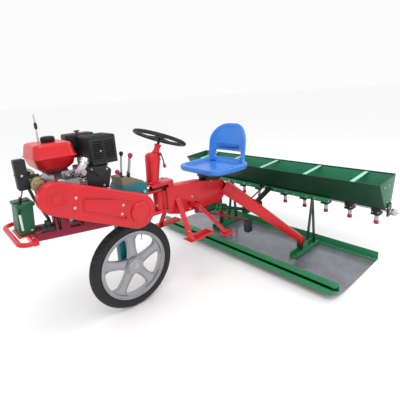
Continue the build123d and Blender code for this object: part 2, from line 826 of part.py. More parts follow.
# Gooseneck with the kingpin's barrel
neck_outline = (
    (NECK_X1, 752.0),
    (-99.0, 728.0),
    (-325.0, 688.0),
    (-388.0, 622.0),
    (-322.0, 545.0),
    (-235.0, 519.0),
    (107.0, 534.0),
    (NECK_X1, 562.0),
)

with BuildPart() as gooseneck:
    with BuildSketch(side(-NECK_W / 2)):
        Polygon(*mirrored(neck_outline), align=None)
    extrude(amount=NECK_W)
    box_between(
        (NECK_X1, KING_X),
        (-NECK_WEB_W / 2, NECK_WEB_W / 2),
        (BARREL_Z0, BARREL_Z1),
    )
    with BuildSketch(Plane.XY.offset(BARREL_Z0)):
        with Locations((KING_X, 0)):
            Circle(BARREL_R)
    extrude(amount=BARREL_Z1 - BARREL_Z0)
    with BuildSketch(Plane.XY.offset(BARREL_Z0)):
        with Locations((KING_X, 0)):
            Circle(KING_R + RUN)
    extrude(amount=BARREL_Z1 - BARREL_Z0, mode=Mode.SUBTRACT)
finish(gooseneck, "gooseneck")

# Splayed arms down to the pins on the sled
with BuildPart() as tow_arms:
    for hand in (-1, 1):
        top = (ARM_TOP[0], hand * ARM_TOP[1], ARM_TOP[2])
        end = (ARM_END[0], hand * ARM_END[1], ARM_END[2])
        plane = across(top, end)
        with BuildSketch(plane):
            Rectangle(ARM_TOP_W, ARM_TOP_H)
        with BuildSketch(plane.offset(span(top, end))):
            Rectangle(ARM_END_W, ARM_END_H)
        loft()
        with BuildSketch(side(hand * PIN_Y - EYE_W / 2)):
            with Locations((-PIN_X, PIN_Z)):
                Circle(EYE_R)
            with Locations((-ARM_END[0], ARM_END[2])):
                Circle(EYE_R)
            make_hull()
        extrude(amount=EYE_W)
        with BuildSketch(side(hand * PIN_Y - EYE_W / 2)):
            with Locations((-PIN_X, PIN_Z)):
                Circle(PIN_R + RUN)
        extrude(amount=EYE_W, mode=Mode.SUBTRACT)
    add(gooseneck.part, mode=Mode.SUBTRACT)
finish(tow_arms, "tow_arms")

# Steering column on its folded base plate
with BuildPart() as column_base:
    with BuildSketch(Plane.XY.offset(PLATE_Z - PLATE_T)):
        with Locations(((PLATE_X0 + PLATE_X1) / 2, 0)):
            plate = Rectangle(PLATE_X1 - PLATE_X0, 2 * PLATE_HALF)
        chamfer(plate.vertices(), 24)
    extrude(amount=PLATE_T)
    for hand in (-1, 1):
        low = min(hand * PLATE_HALF, hand * (PLATE_HALF - PLATE_T))
        box_between(
            (PLATE_X0 + 30, PLATE_X1 - 30),
            (low, low + PLATE_T),
            (PLATE_Z - PLATE_SKIRT, PLATE_Z - PLATE_T),
        )
    box_between((PLATE_X0, POST_X1), (-NECK_W / 2, NECK_W / 2), (720.0, PLATE_Z - PLATE_T))
    add(gooseneck.part, mode=Mode.SUBTRACT)
finish(column_base, "column_base")

tilt = radians(COLUMN_TILT)
COLUMN_DIR = (-sin(tilt), 0.0, cos(tilt))


def on_column(distance):
    """Plane across the column at a distance up from its base."""
    origin = (COLUMN_X + COLUMN_DIR[0] * distance, 0, PLATE_Z + COLUMN_DIR[2] * distance)
    return Plane(origin=origin, x_dir=(0, 1, 0), z_dir=COLUMN_DIR)


with BuildPart() as steering_column:
    for z, (x, radius) in ((PLATE_Z, HOUSING_FOOT), (HOUSING_Z, HOUSING_HEAD)):
        with BuildSketch(Plane.XY.offset(z)):
            with Locations((x, 0)):
                Circle(radius)
    loft()
    with BuildSketch(Plane.XY.offset(HOUSING_Z)):
        with Locations((HOUSING_HEAD[0], 0)):
            Circle(HOUSING_HEAD[1])
    extrude(amount=HOUSING_TOP_Z - HOUSING_Z)
    fillet(steering_column.edges().group_by(Axis.Z)[-1], HOUSING_DOME)
    with BuildSketch(on_column(NECK_TUBE_L0)):
        Circle(COLUMN_R)
    extrude(amount=COLUMN_L - NECK_TUBE_L0)
    with BuildSketch(on_column(COLUMN_L)):
        Circle(STEER_SHAFT_R + RUN)
    extrude(amount=-STEER_SHAFT_L, mode=Mode.SUBTRACT)
finish(steering_column, "steering_column")

with BuildPart() as steering_wheel:
    with Locations(on_column(STEER_L)):
        Torus(STEER_RIM_R, STEER_GRIP_R)
    with BuildSketch(on_column(STEER_L)):
        with PolarLocations(0, STEER_SPOKES, start_angle=90):
            with Locations((STEER_RIM_R / 2, 0)):
                Rectangle(STEER_RIM_R, STEER_SPOKE_W)
    extrude(amount=STEER_SPOKE_T / 2, both=True)
    with BuildSketch(on_column(STEER_L)):
        Circle(STEER_HUB_R)
    extrude(amount=STEER_HUB_T / 2, both=True)
    with BuildSketch(on_column(COLUMN_L - STEER_SHAFT_L + 5)):
        Circle(STEER_SHAFT_R)
    extrude(amount=STEER_L - COLUMN_L + STEER_SHAFT_L - 5)
finish(steering_wheel, "steering_wheel")

# Seat
BACK_BASE = (BACK_X, 0, SEAT_Z0 + SEAT_T / 2)
back_up = (-sin(radians(BACK_LEAN)), 0, cos(radians(BACK_LEAN)))
back_ahead = (cos(radians(BACK_LEAN)), 0, sin(radians(BACK_LEAN)))
back_plan = Plane(origin=BACK_BASE, x_dir=(0, 1, 0), z_dir=back_up)
back_face = Plane(origin=BACK_BASE, x_dir=(0, 1, 0), z_dir=back_ahead)

# the seat's back, bent round the driver and cut to an arch with a slot above the pan
with BuildPart() as seat_back:
    with BuildSketch(back_plan):
        with Locations((0, BACK_T - BACK_BEND_R)):
            Circle(BACK_BEND_R)
            Circle(BACK_BEND_R - BACK_T, mode=Mode.SUBTRACT)
    extrude(amount=BACK_H)
    with BuildSketch(back_face.offset(-2 * BACK_T)):
        with Locations((0, BACK_FOOT / 2)):
            Rectangle(BACK_W, BACK_FOOT)
        with Locations((BACK_W / 2 - BACK_TOP_R, BACK_H - BACK_TOP_R)):
            Circle(BACK_TOP_R)
        with Locations((BACK_TOP_R - BACK_W / 2, BACK_H - BACK_TOP_R)):
            Circle(BACK_TOP_R)
        make_hull()
        with Locations((0, BACK_SLOT_Z)):
            RectangleRounded(BACK_SLOT_W, BACK_SLOT_H, BACK_SLOT_R, mode=Mode.SUBTRACT)
    extrude(amount=2 * BACK_T + BACK_BEND_R / 2, mode=Mode.INTERSECT)
    fillet(seat_back.edges().filter_by(lambda edge: edge.center().Z > SEAT_Z0 + SEAT_T), BACK_EDGE)
    for rib in BACK_RIBS:
        with BuildSketch(back_plan.offset(rib)):
            with Locations((0, BACK_T - BACK_BEND_R)):
                Circle(BACK_BEND_R - BACK_T + RIB_D)
            Rectangle(RIB_W, 2 * BACK_T, mode=Mode.INTERSECT)
        extrude(amount=RIB_H, mode=Mode.SUBTRACT)

with BuildPart() as seat:
    with BuildSketch(Plane.XY.offset(SEAT_Z0)):
        with Locations(((SEAT_X0 + SEAT_X1) / 2, 0)):
            RectangleRounded(SEAT_X1 - SEAT_X0, SEAT_W, SEAT_CORNER)
    extrude(amount=SEAT_T)
    fillet(seat.faces().sort_by(Axis.Z)[0].edges(), SEAT_T / 2)
    fillet(seat.faces().sort_by(Axis.Z)[-1].edges(), SEAT_EDGE)
    with BuildSketch(Plane.XY.offset(SEAT_Z0 + SEAT_T)):
        with Locations(((SEAT_X0 + SEAT_X1) / 2, 0)):
            RectangleRounded(
                SEAT_X1 - SEAT_X0 - 2 * SEAT_DISH_RIM,
                SEAT_W - 2 * SEAT_DISH_RIM,
                SEAT_CORNER - SEAT_DISH_RIM,
            )
    extrude(amount=-SEAT_DISH, taper=SEAT_DISH_SLOPE, mode=Mode.SUBTRACT)
    add(seat_back.part)
finish(seat, "seat")

with BuildPart() as seat_bracket:
    box_between(
        (SEAT_POST_X0, SEAT_POST_X1),
        (-SEAT_POST_W / 2, SEAT_POST_W / 2),
        (SEAT_POST_Z, SEAT_Z0),
    )
    box_between(
        (SEAT_POST_X0 + SEAT_POST_STEP, SEAT_POST_X1),
        (-NECK_W / 2, NECK_W / 2),
        (SEAT_LUG_Z, SEAT_Z0),
    )
    add(gooseneck.part, mode=Mode.SUBTRACT)
finish(seat_bracket, "seat_bracket")

# Footrests, lift pedal and lift link
with BuildPart() as footrests:
    for hand in (-1, 1):
        top = (STEP_ROOT[0], hand * STEP_ROOT[1], STEP_ROOT[2])
        end = (STEP_BAR_X, hand * (STEP_Y0 + STEP_Y1) / 2, STEP_Z - STEP_PAD_T - STEP_T / 2)
        with BuildSketch(across(top, end)):
            Rectangle(STEP_BAR[1], STEP_BAR[0])
        extrude(amount=span(top, end))
        low, high = sorted((hand * STEP_Y0, hand * STEP_Y1))
        box_between((STEP_X0, STEP_X1), (low, high), (STEP_Z - STEP_PAD_T - STEP_T, STEP_Z - STEP_PAD_T))
        box_between(
            (STEP_X0 + STEP_PAD_RIM, STEP_PAD_X1),
            (low + STEP_PAD_RIM, high - STEP_PAD_RIM),
            (STEP_Z - STEP_PAD_T, STEP_Z),
        )
    add(gooseneck.part, mode=Mode.SUBTRACT)
finish(footrests, "footrests")

with BuildPart() as lift_pedal:
    with BuildSketch(side(NECK_W / 2)):
        with Locations((-PEDAL_X, PEDAL_Z)):
            Circle(PEDAL_TUBE_R)
    extrude(amount=PEDAL_Y - NECK_W / 2 + PEDAL_BAR[0])
    with BuildSketch(across((PEDAL_X, PEDAL_Y, PEDAL_Z), PEDAL_END)):
        Rectangle(*PEDAL_BAR)
    extrude(amount=span((PEDAL_X, PEDAL_Y, PEDAL_Z), PEDAL_END))
    with Locations(PEDAL_END):
        Box(*PEDAL_TREAD)
finish(lift_pedal, "lift_pedal")

link_start = (LINK_START[0], LINK_Y, LINK_START[1])
link_end = (LINK_END[0], LINK_Y, LINK_END[1])

with BuildPart() as lift_link:
    with BuildSketch(across(link_start, link_end)):
        Circle(LINK_R)
    extrude(amount=span(link_start, link_end))
    box_between(
        (LINK_START[0] - 18, LINK_START[0] + 18),
        (NECK_W / 2, LINK_Y + LINK_R),
        (LINK_START[1] - 12, LINK_START[1] + 64),
    )
    with Locations((LINK_END[0], LINK_Y, LINK_END[1] - LINK_BLOCK[2] / 2)):
        Box(*LINK_BLOCK)
finish(lift_link, "lift_link")

# Drive shaft from under the gooseneck, its tail bell free round the stub
drive_start = (DRIVE_START[0], 0, DRIVE_START[1])
drive_end = (DRIVE_END[0], 0, DRIVE_END[1])
drive_plane = Plane(
    origin=drive_start,
    x_dir=(0, 1, 0),
    z_dir=(Vector(*drive_end) - Vector(*drive_start)).normalized(),
)

with BuildPart() as drive_shaft:
    box_between(
        (JOINT_BLOCK_X0, JOINT_BLOCK_X1),
        (-JOINT_BLOCK_HALF, JOINT_BLOCK_HALF),
        (JOINT_BLOCK_Z0, 560.0),
    )
    add(gooseneck.part, mode=Mode.SUBTRACT)
    with BuildSketch(drive_plane):
        Circle(JOINT_R)
    extrude(amount=JOINT_L)
    with BuildSketch(drive_plane):
        Circle(DRIVE_R)
    extrude(amount=span(drive_start, drive_end))
    with BuildSketch(Plane(origin=(DRIVE_END[0], 0, REDUCER[1]), z_dir=(-1, 0, 0))):
        Circle(BELL_R)
    extrude(amount=BELL_L)
    with BuildSketch(Plane(origin=(DRIVE_END[0] - BELL_WALL, 0, REDUCER[1]), z_dir=(-1, 0, 0))):
        Circle(BELL_R - BELL_WALL)
    extrude(amount=BELL_L, mode=Mode.SUBTRACT)
finish(drive_shaft, "drive_shaft")

# Sled: board with a rising nose, rails and channels
NOSE_L = SLED_X1 - SLED_FLAT_X1
NOSE_R = (NOSE_L ** 2 + NOSE_RISE ** 2) / (2 * NOSE_RISE)
nose_centre = (SLED_FLAT_X1, NOSE_R)
FRONT_FLANGE_X0 = SLED_X1 - FRONT_FLANGE_L + 4
SLED_FRONT = SLED_X1 + FRONT_BAND_L

with BuildSketch() as sled_plan:
    with Locations(((SLED_X0 + SLED_FRONT) / 2, 0)):
        plan = Rectangle(SLED_FRONT - SLED_X0, 2 * SLED_HALF)
    fillet(plan.vertices().group_by(Axis.X)[-1], SLED_CORNER)

with BuildPart() as sled_board:
    with BuildSketch(Plane.XZ):
        with Locations(nose_centre):
            Circle(NOSE_R)
            Circle(NOSE_R - BOARD_T, mode=Mode.SUBTRACT)
        with Locations((SLED_FLAT_X1 + NOSE_L / 2, NOSE_RISE)):
            Rectangle(NOSE_L, 2 * NOSE_RISE, mode=Mode.INTERSECT)
        with Locations(((SLED_X0 + SLED_FLAT_X1) / 2, BOARD_T / 2)):
            Rectangle(SLED_FLAT_X1 - SLED_X0, BOARD_T)
    extrude(amount=SLED_HALF, both=True)
    extrude(sled_plan.sketch, amount=NOSE_RISE, mode=Mode.INTERSECT)
finish(sled_board, "sled_board")

with BuildPart() as sled_front_rail:
    with BuildSketch(Plane.XZ):
        with Locations(nose_centre):
            Circle(NOSE_R - BOARD_T)
            Circle(NOSE_R - BOARD_T - FRONT_FLANGE_T, mode=Mode.SUBTRACT)
        with Locations((FRONT_FLANGE_X0 + FRONT_FLANGE_L / 2, NOSE_RISE)):
            Rectangle(FRONT_FLANGE_L, 2 * NOSE_RISE, mode=Mode.INTERSECT)
        with Locations((SLED_X1 + FRONT_BAND_L / 2, (FRONT_BAND_Z0 + FRONT_BAND_Z1) / 2)):
            RectangleRounded(FRONT_BAND_L, FRONT_BAND_Z1 - FRONT_BAND_Z0, FRONT_BAND_EDGE)
    extrude(amount=SLED_HALF, both=True)
    box_between(
        (SLED_X1 + FRONT_BAND_L - FRONT_LIP_T, SLED_X1 + FRONT_BAND_L),
        (-SLED_HALF, SLED_HALF),
        ((FRONT_BAND_Z0 + FRONT_BAND_Z1) / 2, FRONT_LIP_Z1),
    )
    with BuildSketch(Plane.XZ):
        with Locations((FRONT_FLANGE_X0 + FRONT_FLANGE_T / 2, FRONT_SHELF_Z1 / 2)):
            Rectangle(FRONT_FLANGE_T, FRONT_SHELF_Z1)
        with Locations((FRONT_FLANGE_X0 + FRONT_SHELF_L / 2, FRONT_SHELF_Z1 - FRONT_FLANGE_T / 2)):
            Rectangle(FRONT_SHELF_L, FRONT_FLANGE_T)
        with Locations(nose_centre):
            Circle(NOSE_R - BOARD_T, mode=Mode.INTERSECT)
    extrude(amount=SLED_HALF, both=True)
    extrude(sled_plan.sketch, amount=FRONT_SHELF_Z1, mode=Mode.INTERSECT)
    add(sled_board.part, mode=Mode.SUBTRACT)
finish(sled_front_rail, "sled_front_rail")

with BuildPart() as sled_rear_rail:
    box_between(
        (SLED_X0, SLED_X0 + REAR_FLANGE_L),
        (-SLED_HALF, SLED_HALF),
        (BOARD_T, BOARD_T + REAR_T),
    )
    box_between(
        (SLED_X0, SLED_X0 + REAR_T),
        (-SLED_HALF, SLED_HALF),
        (BOARD_T, BOARD_T + REAR_UPSTAND),
    )
finish(sled_rear_rail, "sled_rear_rail")

with BuildPart() as sled_channels:
    for hand in (-1, 1):
        mid = hand * PIN_Y
        box_between(
            (CHANNEL_X0, CHANNEL_X1),
            (mid - CHANNEL_W / 2, mid + CHANNEL_W / 2),
            (BOARD_T, BOARD_T + CHANNEL_T),
        )
        for flank in (-1, 1):
            low = mid + flank * (CHANNEL_W - CHANNEL_T) / 2 - CHANNEL_T / 2
            box_between(
                (CHANNEL_X0, CHANNEL_X1),
                (low, low + CHANNEL_T),
                (BOARD_T, BOARD_T + CHANNEL_H),
            )
            box_between(
                (PIN_X - LUG_HALF_L, PIN_X + LUG_HALF_L),
                (low, low + CHANNEL_T),
                (BOARD_T, PIN_Z + LUG_TOP),
            )
        with BuildSketch(side(mid - CHANNEL_W / 2)):
            with Locations((-PIN_X, PIN_Z)):
                Circle(PIN_R)
        extrude(amount=CHANNEL_W)
finish(sled_channels, "sled_channels")

# Hopper: two sloping walls, floor, ends and cross straps
front_wall = (
    (FLOOR_X1, FLOOR_Z),
    LIP_FRONT,
    (LIP_FRONT[0] - WALL_RUN, LIP_FRONT[1]),
    (FLOOR_X1 - WALL_RUN, FLOOR_Z),
)
rear_wall = (
    (FLOOR_X0, FLOOR_Z),
    LIP_REAR,
    (LIP_REAR[0] + WALL_RUN, LIP_REAR[1]),
    (FLOOR_X0 + WALL_RUN, FLOOR_Z),
)
floor_top = FLOOR_Z + HOPPER_WALL
floor_outline = (
    (FLOOR_X0 + WALL_RUN, FLOOR_Z),
    (FLOOR_X1 - WALL_RUN, FLOOR_Z),
    (front_x(floor_top) - WALL_RUN, floor_top),
    (rear_x(floor_top) + WALL_RUN, floor_top),
)
end_outline = ((FLOOR_X0, FLOOR_Z), LIP_REAR, LIP_FRONT, (FLOOR_X1, FLOOR_Z))
HOPPER_INNER = HOPPER_HALF - HOPPER_WALL

with BuildPart() as hopper_walls:
    for outline in (front_wall, rear_wall):
        with BuildSketch(side(-HOPPER_INNER)):
            Polygon(*mirrored(outline), align=None)
        extrude(amount=2 * HOPPER_INNER)
finish(hopper_walls, "hopper_walls")

with BuildPart() as hopper_floor:
    with BuildSketch(side(-HOPPER_INNER)):
        Polygon(*mirrored(floor_outline), align=None)
    extrude(amount=2 * HOPPER_INNER)
finish(hopper_floor, "hopper_floor")

with BuildPart() as hopper_ends:
    for y in (-HOPPER_HALF, HOPPER_INNER):
        with BuildSketch(side(y)):
            Polygon(*mirrored(end_outline), align=None)
        extrude(amount=HOPPER_WALL)
finish(hopper_ends, "hopper_ends")

strap_front_z1 = LIP_FRONT[1] - STRAP_DROP
strap_front_z0 = strap_front_z1 - STRAP_T
strap_rear_z1 = LIP_REAR[1] - STRAP_DROP
strap_rear_z0 = strap_rear_z1 - STRAP_T
strap_outline = (
    (rear_x(strap_rear_z0) + WALL_RUN, strap_rear_z0),
    (rear_x(strap_rear_z1) + WALL_RUN, strap_rear_z1),
    (front_x(strap_front_z1) - WALL_RUN, strap_front_z1),
    (front_x(strap_front_z0) - WALL_RUN, strap_front_z0),
)

with BuildPart() as hopper_straps:
    for y in STRAP_YS:
        with BuildSketch(side(y - STRAP_W / 2)):
            Polygon(*mirrored(strap_outline), align=None)
        extrude(amount=STRAP_W)
finish(hopper_straps, "hopper_straps")

# Support angle in two lengths, open where the chain comes up
beam_runs = ((-BEAM_HALF, CHAIN_Y - 30), (CHAIN_Y + 30, BEAM_HALF))

with BuildPart() as hopper_beam:
    for run in beam_runs:
        box_between((BEAM_X0, BEAM_X1), run, (FLOOR_Z - BEAM_T, FLOOR_Z))
        box_between((BEAM_X1 - BEAM_T, BEAM_X1), run, (FLOOR_Z - BEAM_H, FLOOR_Z))
finish(hopper_beam, "hopper_beam")

with BuildPart() as hopper_legs:
    for hand in (-1, 1):
        for foot_x in LEG_FEET_X:
            foot = (foot_x, hand * LEG_Y, BOARD_T + CHANNEL_T - 20)
            apex = (LEG_APEX[0], hand * LEG_Y, FLOOR_Z)
            along = (Vector(*apex) - Vector(*foot)).normalized()
            with BuildSketch(Plane(origin=foot, x_dir=(0, 1, 0), z_dir=along)):
                Rectangle(*LEG_BAR)
            extrude(amount=span(foot, apex) + 20)
    trim_x = (SLED_X0 - LEG_TRIM, SLED_X1)
    trim_y = (-LEG_Y - LEG_TRIM, LEG_Y + LEG_TRIM)
    box_between(trim_x, trim_y, (FLOOR_Z - BEAM_T, FLOOR_Z + LEG_TRIM), mode=Mode.SUBTRACT)
    box_between(trim_x, trim_y, (-LEG_TRIM, BOARD_T + CHANNEL_T), mode=Mode.SUBTRACT)
    add(hopper_beam.part, mode=Mode.SUBTRACT)
finish(hopper_legs, "hopper_legs")

# Metering units, one to a row, with their drop tubes
with BuildPart() as seed_meters:
    for y in ROWS:
        box_between(
            (SHAFT_X - METER_L / 2, SHAFT_X + METER_L / 2),
            (y - METER_W / 2, y + METER_W / 2),
            (FLOOR_Z - METER_H, FLOOR_Z),
        )
    with BuildSketch(side(-HOPPER_HALF)):
        with Locations((-SHAFT_X, SHAFT_Z)):
            Circle(SHAFT_R + RUN)
    extrude(amount=2 * HOPPER_HALF, mode=Mode.SUBTRACT)
finish(seed_meters, "seed_meters")

with BuildPart() as seed_tubes:
    with BuildSketch(Plane.XY.offset(TUBE_JOIN_Z)):
        with Locations([(SHAFT_X, y) for y in ROWS]):
            Circle(TUBE_R)
    extrude(amount=FLOOR_Z - METER_H - TUBE_JOIN_Z)
finish(seed_tubes, "seed_tubes")

with BuildPart() as tube_tips:
    with BuildSketch(Plane.XY.offset(TUBE_TIP_Z)):
        with Locations([(SHAFT_X, y) for y in ROWS]):
            Circle(TUBE_TIP_R)
    extrude(amount=TUBE_JOIN_Z - TUBE_TIP_Z)
finish(tube_tips, "tube_tips")

with BuildPart() as shaft_bearings:
    for y in (-HOPPER_HALF - BEARING_T, HOPPER_HALF):
        with BuildSketch(side(y)):
            with Locations((-SHAFT_X, SHAFT_Z + 12)):
                RectangleRounded(METER_L, BEARING_H, 10)
            with Locations((-SHAFT_X, SHAFT_Z)):
                Circle(SHAFT_R + RUN, mode=Mode.SUBTRACT)
        extrude(amount=BEARING_T)
finish(shaft_bearings, "shaft_bearings")

with BuildPart() as seed_shaft:
    with BuildSketch(side(-COUPLING_Y0)):
        with Locations((-SHAFT_X, SHAFT_Z)):
            Circle(SHAFT_R)
    extrude(amount=2 * COUPLING_Y0)
finish(seed_shaft, "seed_shaft")

with BuildPart() as shaft_couplings:
    with BuildSketch(side(CHAIN_Y - SPROCKET_W / 2)):
        with Locations((-SHAFT_X, SHAFT_Z)):
            Circle(SHAFT_SPROCKET_R)
    extrude(amount=SPROCKET_W)
    add(seed_shaft.part, mode=Mode.SUBTRACT)
    for hand in (-1, 1):
        with BuildSketch(side(hand * COUPLING_Y0)):
            with Locations((-SHAFT_X, SHAFT_Z)):
                Circle(COUPLING_R)
        extrude(amount=hand * (COUPLING_Y1 - COUPLING_Y0))
        with BuildSketch(side(hand * COUPLING_Y1)):
            with Locations((-SHAFT_X, SHAFT_Z)):
                Circle(SHAFT_R)
        extrude(amount=hand * (SHAFT_HALF - COUPLING_Y1))
finish(shaft_couplings, "shaft_couplings")

# Seed drive: reducer with its hanger and stub, and the chain loop
hanger_outline = (
    (REDUCER[0] + 20, REDUCER[1] + REDUCER_H / 2),
    (REDUCER[0] - 40, REDUCER[1] + REDUCER_H / 2),
    (BEAM_X1, FLOOR_Z - BEAM_H + 2),
    (BEAM_X1, FLOOR_Z - 4),
)

with BuildPart() as seed_reducer:
    box_between(
        (REDUCER[0] - REDUCER_L / 2, REDUCER[0] + REDUCER_L / 2),
        (REDUCER_Y0, REDUCER_Y1),
        (REDUCER[1] - REDUCER_H / 2, REDUCER[1] + REDUCER_H / 2),
    )
    fillet(seed_reducer.edges().filter_by(Axis.Y), 14)
    with BuildSketch(side(HANGER_Y0)):
        Polygon(*mirrored(hanger_outline), align=None)
    extrude(amount=HANGER_Y1 - HANGER_Y0)
    with BuildSketch(Plane(origin=(REDUCER[0] + REDUCER_L / 2, 0, REDUCER[1]), z_dir=(1, 0, 0))):
        Circle(STUB_R)
    extrude(amount=STUB_L)
    with BuildSketch(side(CHAIN_Y - SPROCKET_W / 2)):
        with Locations((-REDUCER[0], REDUCER[1])):
            Circle(REDUCER_SPROCKET_R)
    extrude(amount=SPROCKET_W)
    with BuildSketch(side(CHAIN_Y)):
        with Locations((-REDUCER[0], REDUCER[1])):
            Circle(SHAFT_R)
    extrude(amount=REDUCER_Y0 - CHAIN_Y)
finish(seed_reducer, "seed_reducer")

with BuildPart() as seed_chain:
    with BuildSketch(side(CHAIN_Y - CHAIN_W / 2)):
        with Locations((-REDUCER[0], REDUCER[1])):
            Circle(REDUCER_SPROCKET_R + CHAIN_T)
        with Locations((-SHAFT_X, SHAFT_Z)):
            Circle(SHAFT_SPROCKET_R + CHAIN_T)
        make_hull()
        with BuildSketch(mode=Mode.SUBTRACT):
            with Locations((-REDUCER[0], REDUCER[1])):
                Circle(REDUCER_SPROCKET_R)
            with Locations((-SHAFT_X, SHAFT_Z)):
                Circle(SHAFT_SPROCKET_R + MESH)
            make_hull()
    extrude(amount=CHAIN_W)
finish(seed_chain, "seed_chain")
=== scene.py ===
import json
import math

import bmesh
import bpy
from mathutils import Matrix, Vector
from mathutils.bvhtree import BVHTree


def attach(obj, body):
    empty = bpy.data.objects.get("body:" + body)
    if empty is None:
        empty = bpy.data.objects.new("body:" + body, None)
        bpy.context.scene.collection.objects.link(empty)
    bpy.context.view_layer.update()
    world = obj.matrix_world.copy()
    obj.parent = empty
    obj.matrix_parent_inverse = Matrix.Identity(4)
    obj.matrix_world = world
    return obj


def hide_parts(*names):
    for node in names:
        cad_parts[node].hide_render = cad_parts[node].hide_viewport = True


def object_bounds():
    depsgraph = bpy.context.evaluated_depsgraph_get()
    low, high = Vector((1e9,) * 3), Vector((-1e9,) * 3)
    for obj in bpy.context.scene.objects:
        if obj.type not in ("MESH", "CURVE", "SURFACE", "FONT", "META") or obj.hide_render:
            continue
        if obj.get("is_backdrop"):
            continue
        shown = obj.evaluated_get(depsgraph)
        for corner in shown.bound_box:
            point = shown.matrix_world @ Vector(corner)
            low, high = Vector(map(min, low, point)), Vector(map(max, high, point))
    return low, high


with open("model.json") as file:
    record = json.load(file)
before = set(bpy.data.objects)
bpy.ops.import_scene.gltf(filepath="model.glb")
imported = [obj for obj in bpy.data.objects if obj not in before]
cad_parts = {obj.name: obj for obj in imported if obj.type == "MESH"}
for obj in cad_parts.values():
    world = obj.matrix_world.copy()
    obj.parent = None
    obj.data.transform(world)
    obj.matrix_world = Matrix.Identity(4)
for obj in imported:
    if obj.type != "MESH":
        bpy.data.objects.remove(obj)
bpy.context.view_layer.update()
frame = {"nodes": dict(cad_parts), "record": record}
nodes = frame["nodes"]
scene = bpy.context.scene


# Materials: scale of the mottle and the scuffs, reach of the painted shade in creases and depth of the bump
CLOUD_SCALE, SCUFF_SCALE = 9.0, 34.0
CREASE_REACH = 0.035
BUMP_DEPTH = 0.002


# The last argument sets how dark the painted shade in creases grows
def material(name, colour, rough, metal=0.0, mottle=0.06, grain=90.0, bump=0.02, alpha=1.0, transmission=0.0,
             wear=0.0, wear_colour=(0.3, 0.3, 0.3), gleam=0.3, crease_shade_depth=0.55):
    """A procedural surface: base colour with a soft mottle and painted shade darkening its creases, uneven
    gloss and a fine bump.
    """
    made = bpy.data.materials.new(name)
    made.use_nodes = True
    tree = made.node_tree
    shader = tree.nodes["Principled BSDF"]
    shader.inputs["Metallic"].default_value = metal
    shader.inputs["Specular IOR Level"].default_value = gleam
    shader.inputs["Alpha"].default_value = alpha
    shader.inputs["Transmission Weight"].default_value = transmission
    where = tree.nodes.new("ShaderNodeTexCoord")
    cloud = tree.nodes.new("ShaderNodeTexNoise")
    cloud.inputs["Scale"].default_value = CLOUD_SCALE
    cloud.inputs["Detail"].default_value = 5.0
    tree.links.new(where.outputs["Object"], cloud.inputs["Vector"])
    ramp = tree.nodes.new("ShaderNodeValToRGB")
    ramp.color_ramp.elements[0].position = 0.3
    ramp.color_ramp.elements[1].position = 0.7
    ramp.color_ramp.elements[0].color = [c * (1.0 - mottle) for c in colour] + [1.0]
    ramp.color_ramp.elements[1].color = [min(1.0, c * (1.0 + mottle)) for c in colour] + [1.0]
    tree.links.new(cloud.outputs["Fac"], ramp.inputs["Fac"])
    tint = ramp.outputs["Color"]
    if wear:
        scuff = tree.nodes.new("ShaderNodeTexNoise")
        scuff.inputs["Scale"].default_value = SCUFF_SCALE
        scuff.inputs["Detail"].default_value = 9.0
        scuff.inputs["Roughness"].default_value = 0.72
        tree.links.new(where.outputs["Object"], scuff.inputs["Vector"])
        edge = tree.nodes.new("ShaderNodeMapRange")
        edge.inputs["From Min"].default_value = 0.60
        edge.inputs["From Max"].default_value = 0.74
        edge.inputs["To Max"].default_value = wear
        tree.links.new(scuff.outputs["Fac"], edge.inputs["Value"])
        mix = tree.nodes.new("ShaderNodeMix")
        mix.data_type = "RGBA"
        mix.inputs["B"].default_value = (*wear_colour, 1.0)
        tree.links.new(edge.outputs["Result"], mix.inputs["Factor"])
        tree.links.new(tint, mix.inputs["A"])
        tint = mix.outputs["Result"]
    # Painted shade: ambient occlusion darkens the base colour in creases, recesses and between parts
    crease = tree.nodes.new("ShaderNodeAmbientOcclusion")
    crease.samples = 6
    crease.inputs["Distance"].default_value = CREASE_REACH
    crease_shade = tree.nodes.new("ShaderNodeMapRange")
    crease_shade.inputs["From Min"].default_value = 0.15
    crease_shade.inputs["From Max"].default_value = 0.8
    crease_shade.inputs["To Min"].default_value = 1.0 - crease_shade_depth
    tree.links.new(crease.outputs["AO"], crease_shade.inputs["Value"])
    shade = tree.nodes.new("ShaderNodeMix")
    shade.data_type = "RGBA"
    shade.blend_type = "MULTIPLY"
    shade.inputs["Factor"].default_value = 1.0
    tree.links.new(tint, shade.inputs["A"])
    tree.links.new(crease_shade.outputs["Result"], shade.inputs["B"])
    tree.links.new(shade.outputs["Result"], shader.inputs["Base Color"])
    gloss = tree.nodes.new("ShaderNodeMapRange")
    gloss.inputs["To Min"].default_value = max(0.02, rough - 0.07)
    gloss.inputs["To Max"].default_value = min(1.0, rough + 0.09)
    tree.links.new(cloud.outputs["Fac"], gloss.inputs["Value"])
    tree.links.new(gloss.outputs["Result"], shader.inputs["Roughness"])
    fine = tree.nodes.new("ShaderNodeTexNoise")
    fine.inputs["Scale"].default_value = grain
    fine.inputs["Detail"].default_value = 3.0
    tree.links.new(where.outputs["Object"], fine.inputs["Vector"])
    relief = tree.nodes.new("ShaderNodeBump")
    relief.inputs["Strength"].default_value = bump
    relief.inputs["Distance"].default_value = BUMP_DEPTH
    tree.links.new(fine.outputs["Fac"], relief.inputs["Height"])
    tree.links.new(relief.outputs["Normal"], shader.inputs["Normal"])
    return made


